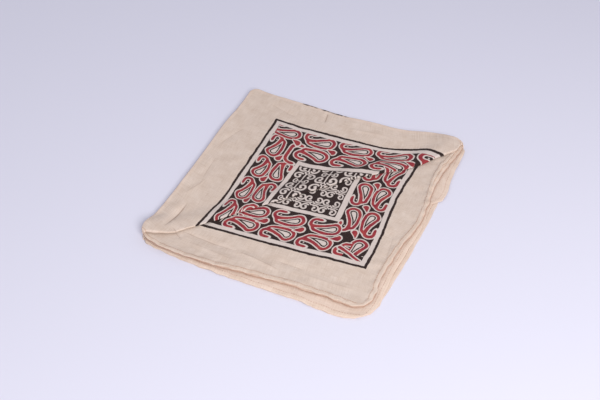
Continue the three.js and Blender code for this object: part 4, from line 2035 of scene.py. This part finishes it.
@dataclass(frozen=True)
class BlockPrint:
    """The print: a black frame line, a border of curled leaves in two rows, and a square of scrolls.

    Lengths are in millimetres from the print's centre.

    Attributes:
        outer_line: Distance to the frame line's inner and outer edge.
        line_roughness: How uneven the frame line's edges are.
        border: Distance to the border's inner and outer edge.
        lopsided: How much further out the inner edge lies on the far and the right side.
        square: Half the scroll square's width.
        square_margin: Width of the square's plain edge.
        leaf_length: The pitch that the leaf is drawn for.
        near_side: The border's side at the near end, and so on for the other three.
    """

    inks: Inks = Inks()
    leaf: Leaf = Leaf()
    bud: Bud = Bud()
    lone_hook: LoneHook = LoneHook()
    corner_tail: CornerTail = CornerTail()
    scrolls: ScrollSquare = ScrollSquare()
    outer_line: Pair = (98.1, 101.3)
    line_roughness: float = 1.6
    border: Pair = (46.6, 93.0)
    lopsided: float = 1.2
    square: float = 41.6
    square_margin: float = 1.2
    leaf_length: float = 42.6
    near_side: BorderSide = BorderSide(
        70.8, 40.4, 1.0, LeafLine(-3.6, -66, 57), LeafLine(-3.6, -66, 74), 14.8, 40.4, 78
    )
    far_side: BorderSide = BorderSide(
        73.0, 44.9, 1.0, LeafLine(8.7, -58, 71), LeafLine(8.7, -93, 93), 29.35, 44.9, 78
    )
    left_side: BorderSide = BorderSide(
        69.2, 41.5, -1.0, LeafLine(22, -77, 43), LeafLine(16, -97, 79), -0.1, 41, 70
    )
    right_side: BorderSide = BorderSide(
        70.8, 43.4, 1.0, LeafLine(4, -60, 69), LeafLine(4, -93, 71), -16.4, 41, 70
    )

    def _rings(self, press: Impression, body: Field, shown: Field) -> None:
        """Prints a leaf's pale core, its black ring and the pale ring round that.

        Args:
            press: The print so far.
            body: How far a place lies outside the leaf's body.
            shown: 1 where leaves are printed, and else 0.
        """
        low, high, soft = -12.0, 1.0, 0.2
        pale, black = self.inks.bare, self.inks.black
        clear = pale[:3] + (0.0,)
        tree = press.nodes.tree
        ramp = tree.nodes.new("ShaderNodeValToRGB")
        tree.links.new(((body - low) * (1 / (high - low))).socket, ramp.inputs[0])
        elements = ramp.color_ramp.elements
        elements[0].position, elements[0].color = 0.0, pale
        elements[1].position, elements[1].color = 1.0, clear
        for depth, before, after in zip(self.leaf.rings, (pale, black, pale), (black, pale, clear)):
            for shift, colour in ((-soft, before), (soft, after)):
                elements.new((depth + shift - low) / (high - low)).color = colour
        press.lay(Field(tree, ramp.outputs[1]) * shown, ramp.outputs[0])

    def _facing_sides(
        self, press: Impression, along: Field, across: Field, sides: tuple[BorderSide, BorderSide]
    ) -> None:
        """Prints the leaves and buds of two facing sides of the border.

        Args:
            press: The print so far.
            along: Place from the print's centre, along the two sides.
            across: The same, from the first side to the second.
            sides: The two sides.
        """
        first, second = sides
        in_second = across.beyond(0.0)
        out = abs(across) - chosen(in_second, first.middle, second.middle)
        in_outer = out.beyond(0.0)
        leaf, start, end = (
            chosen(in_second, chosen(in_outer, *one), chosen(in_outer, *other))
            for one, other in zip(first.lines(), second.lines())
        )
        pitch = chosen(in_second, first.pitch, second.pitch)
        toward = chosen(in_second, first.toward, second.toward)
        place = (along - leaf).repeated(pitch) * toward * (self.leaf_length / pitch)
        shown = along.beyond(start) * (1.0 - along.beyond(end))
        whole, body = self.leaf.distances(place, abs(out))
        press.shape(whole, self.leaf.outline, shown)
        self._rings(press, body, shown)
        press.lay(self.leaf.eye_distance(place, abs(out)).under(0.0) * shown, self.inks.bare)
        bud_pitch = chosen(in_second, first.bud_pitch, second.bud_pitch)
        bud = (along - chosen(in_second, first.bud, second.bud)).repeated(bud_pitch) * toward
        shown = abs(along).under(chosen(in_second, first.bud_end, second.bud_end))
        press.shape(self.bud.distance(bud, out * toward), self.bud.outline, shown)

    def _border(self, press: Impression, x: Field, y: Field) -> None:
        """Prints the whole border on its black ground.

        Args:
            press: The print so far.
            x: Place from the print's centre.
            y: The same, toward the far side.
        """
        hook, tail = self.lone_hook, self.corner_tail
        self._facing_sides(press, y, x, (self.left_side, self.right_side))
        press.shape(hook.distance(x, y), hook.outline)
        self._facing_sides(press, x, y, (self.near_side, self.far_side))
        press.lay(x.beyond(tail.ground[0]) * (1.0 - y.beyond(tail.ground[1])), self.inks.black)
        press.shape(tail.distance(x, y), tail.outline)

    def build(
        self, nodes: ClothNodes, x: Field, y: Field, uneven: Field
    ) -> tuple[Socket, Field]:
        """Draws the whole print.

        Args:
            nodes: The material's nodes.
            x: Place from the print's centre.
            y: The same, toward the far side.
            uneven: Soft noise from 0 to 1, which the red ink follows.

        Returns:
            The print's colour, and 1 where it covers the cloth.
        """
        inks = self.inks
        press = Impression(nodes, inks, uneven)
        self._border(press, x, y)
        reach = abs(x).most(abs(y))
        inner_edge = self.lopsided * (x + y).beyond(0.0) + self.border[0]
        ground = reach.under(self.border[1]) * (1.0 - reach.under(inner_edge))
        colour = nodes.mixed(ground, inks.bare, press.colour)
        lines = self.scrolls.lines(x, y) * reach.under(self.square - self.square_margin)
        scrolls = nodes.mixed(lines, inks.black, inks.bare)
        colour = nodes.mixed(reach.under(self.square), colour, scrolls)
        covers = (reach + (uneven - 0.5) * self.line_roughness).under(self.outer_line[1])
        line = covers * (1.0 - reach.under(self.outer_line[0]))
        return nodes.mixed(line, colour, inks.black), covers


@dataclass
class Readings:
    """What the cotton's nodes read at each point.

    Attributes:
        cloth: Place on the flat cloth, in millimetres.
        printed_side: 1 on the printed side, and else 0.
        top: 1 on the top layer, and else 0.
        edge: Distance in from the cloth's edge.
        mottle: Broad blotches, mostly near 0.5.
        slubs: Thick and thin threads both ways, round 0.
    """

    cloth: Socket
    printed_side: Field
    top: Field
    edge: Field
    mottle: Field
    slubs: Field


@dataclass(frozen=True)
class PrintedCotton:
    """The bandana's cotton: a plain weave with slubs, a block print, and hems that look a little denser.

    Attributes:
        face: Colour of the printed side.
        under: Colour of the lower layers, partly their own and partly painted light, and the painted
            highlight on the folds' edges.
        hem: Colour of the doubled hem.
        shade: How much darker its darkest slubs and blotches are.
        seam: How much darker the line of the hem's stitches is, partly the thread's colour and partly painted
            shade of its groove.
        painted_gap_shade: How much darker and redder the second layer's very edge is, as painted shade of the
            gap between the upper and the lower pair.
        crease: How much darker the line of a crease is, as painted shade along it.
        thread: Distance between neighbouring threads, in millimetres.
        blotch: Size of the broad blotches, in millimetres.
        slub: Length and width of a slub, in millimetres.
        finish: Its shader's other inputs.
        block: The print.
    """

    face: Colour = linear(220, 204, 192)
    under: Colour = linear(234, 214, 200)
    hem: Colour = linear(230, 211, 195)
    shade: Colour = linear(226, 218, 210)
    seam: Colour = linear(222, 200, 186)
    painted_gap_shade: Colour = linear(182, 142, 126)
    crease: Colour = linear(184, 168, 160)
    thread: float = 0.45
    blotch: float = 16.0
    slub: Pair = (14.0, 0.8)
    finish: tuple[tuple[str, float], ...] = (
        ("Roughness", 0.95),
        ("Specular IOR Level", 0.06),
        ("Sheen Weight", 0.06),
        ("Sheen Roughness", 0.5),
    )
    block: BlockPrint = BlockPrint()

    def _read(self, nodes: ClothNodes) -> Readings:
        """Adds the nodes that read the cloth."""
        cloth = nodes.place(CLOTH_MAP)
        length, width = self.slub
        weft, warp = nodes.grain(cloth, length, width, 2.0), nodes.grain(cloth, width, length, 2.0)
        return Readings(
            cloth=cloth,
            printed_side=nodes.carried(PRINTED_SIDE),
            top=nodes.carried(TOP_SHARE),
            edge=nodes.carried(HEM_DISTANCE),
            mottle=nodes.grain(cloth, self.blotch, self.blotch, 4.0),
            slubs=weft + warp - 1.0,
        )

    def _plain(
        self, nodes: ClothNodes, read: Readings, creases: tuple[Crease, ...]
    ) -> Socket:
        """The cotton's colour without the print, with some painted light and shade.

        Args:
            nodes: The material's nodes.
            read: What they read.
            creases: The top layer's creases.

        Returns:
            The colour.
        """
        # The lower layers are lighter and peachier: partly their own colour, partly painted light.
        colour = nodes.mixed(read.printed_side * read.top, self.under, self.face)
        colour = nodes.mixed(read.edge.under(HEM_WIDTH, 0.6) * 0.4, colour, self.hem)
        # Painted shade of the gap between the upper and the lower pair, on the second layer's edge.
        gap_shade_mask = read.edge.under(0.9, 0.4) * nodes.carried(UPPER_INNER_SHARE) * 0.65
        colour = nodes.mixed(gap_shade_mask, colour, self.painted_gap_shade, Blend.MULTIPLY)
        from_first, from_second = nodes.split(read.cloth)
        # Painted highlight on the folds' rounded edges.
        fold_highlight = abs(from_first).least(abs(from_second)).under(3.2, 1.8)
        colour = nodes.mixed(fold_highlight * 0.6, colour, self.under)
        # The stitch line: partly the thread's colour, partly painted shade of the stitched groove.
        sewn = abs(read.edge - STITCH_LINE).under(0.55, 0.35) * (read.slubs * 2.0 + 0.55).share()
        colour = nodes.mixed(sewn * (read.top * 0.7 + 0.3), colour, self.seam, Blend.MULTIPLY)
        # Painted shade along the creases.
        plan_x, plan_y = nodes.split(nodes.place(PLAN_MAP))
        lines = creases[0].drawn(plan_x, plan_y)
        for crease in creases[1:]:
            lines = lines.most(crease.drawn(plan_x, plan_y))
        lines = lines * read.top * read.printed_side * (read.mottle + 0.4).share()
        colour = nodes.mixed(lines, colour, self.crease, Blend.MULTIPLY)
        tone = ((read.mottle - 0.5) * 0.9 + read.slubs + 0.5).share()
        return nodes.mixed(tone, colour, self.shade, Blend.MULTIPLY)

    def _printed(
        self, nodes: ClothNodes, read: Readings, cotton: Socket
    ) -> Socket:
        """Prints the block on the cotton, faint on its back and worn thin in spots.

        Args:
            nodes: The material's nodes.
            read: What they read.
            cotton: The plain cotton's colour.

        Returns:
            The printed cotton's colour.
        """
        place = nodes.place(PRINT_MAP)
        uneven = nodes.grain(place, 7.0, 7.0, 3.0)
        shaken = nodes.shaken(nodes.shaken(place, 15.0, 2.6), 1.8, 0.8)
        ink, covers = self.block.build(nodes, *nodes.split(shaken), uneven)
        worn = (nodes.grain(read.cloth, 1.1, 1.1, 2.0) - 0.62).share() * 1.6
        strength = (read.printed_side * 0.86 + 0.12) * (1.0 - worn)
        colour = nodes.mixed(covers * strength, cotton, ink)
        broken = nodes.grain(read.cloth, 9.0, 9.0, 4.0)
        at_edge = (nodes.carried(EDGE_INK) * 2.0 + broken * 5.0 - 3.9).share() * read.printed_side
        return nodes.mixed(at_edge * 0.9, colour, self.block.inks.black)

    def _bump(self, nodes: ClothNodes, read: Readings) -> Socket:
        """The weave's and the slubs' small relief.

        Args:
            nodes: The material's nodes.
            read: What they read.

        Returns:
            The normal.
        """
        across, along = nodes.split(read.cloth)
        turn = math.pi / self.thread
        weave = (across * turn).sine() * (along * turn).sine()
        height = weave * 0.25 + read.slubs * 0.9 + (read.mottle - 0.5) * 1.2
        bump = nodes.tree.nodes.new("ShaderNodeBump")
        bump.inputs["Distance"].default_value = 0.0004
        bump.inputs["Strength"].default_value = 0.6
        nodes.tree.links.new(height.socket, bump.inputs["Height"])
        return bump.outputs[0]

    def build(self, creases: tuple[Crease, ...]) -> bpy.types.Material:
        """Makes the material.

        Args:
            creases: The top layer's creases, along which thin lines of painted shade are drawn.

        Returns:
            The material.
        """
        material = new_material("printed_cotton", dict(self.finish))
        nodes = ClothNodes(material.node_tree)
        shader = material.node_tree.nodes["Principled BSDF"]
        read = self._read(nodes)
        colour = self._printed(nodes, read, self._plain(nodes, read, creases))
        material.node_tree.links.new(colour, shader.inputs["Base Color"])
        material.node_tree.links.new(self._bump(nodes, read), shader.inputs["Normal"])
        return material


def main() -> None:
    """Builds every piece around the frame."""
    logging.basicConfig(level=logging.INFO, format="%(name)s: %(message)s")
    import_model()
    Studio().build()
    folded = FoldedCloth()
    surface = folded.surface()
    cloth = folded.build(surface, PrintedCotton().build(folded.creases))
    seam_thickness = float(folded.thickness_at(np.array([STITCH_LINE]))[0])
    stitches = HemStitches().build(surface, seam_thickness)
    for piece in (cloth, stitches):
        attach(piece, BODY)
    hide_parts(CAD_NODE)
    LOG.info("stitches: %d faces", len(stitches.data.polygons))
    LOG.info("cloth: %d faces", len(cloth.data.polygons))


if __name__ == "__main__":
    main()
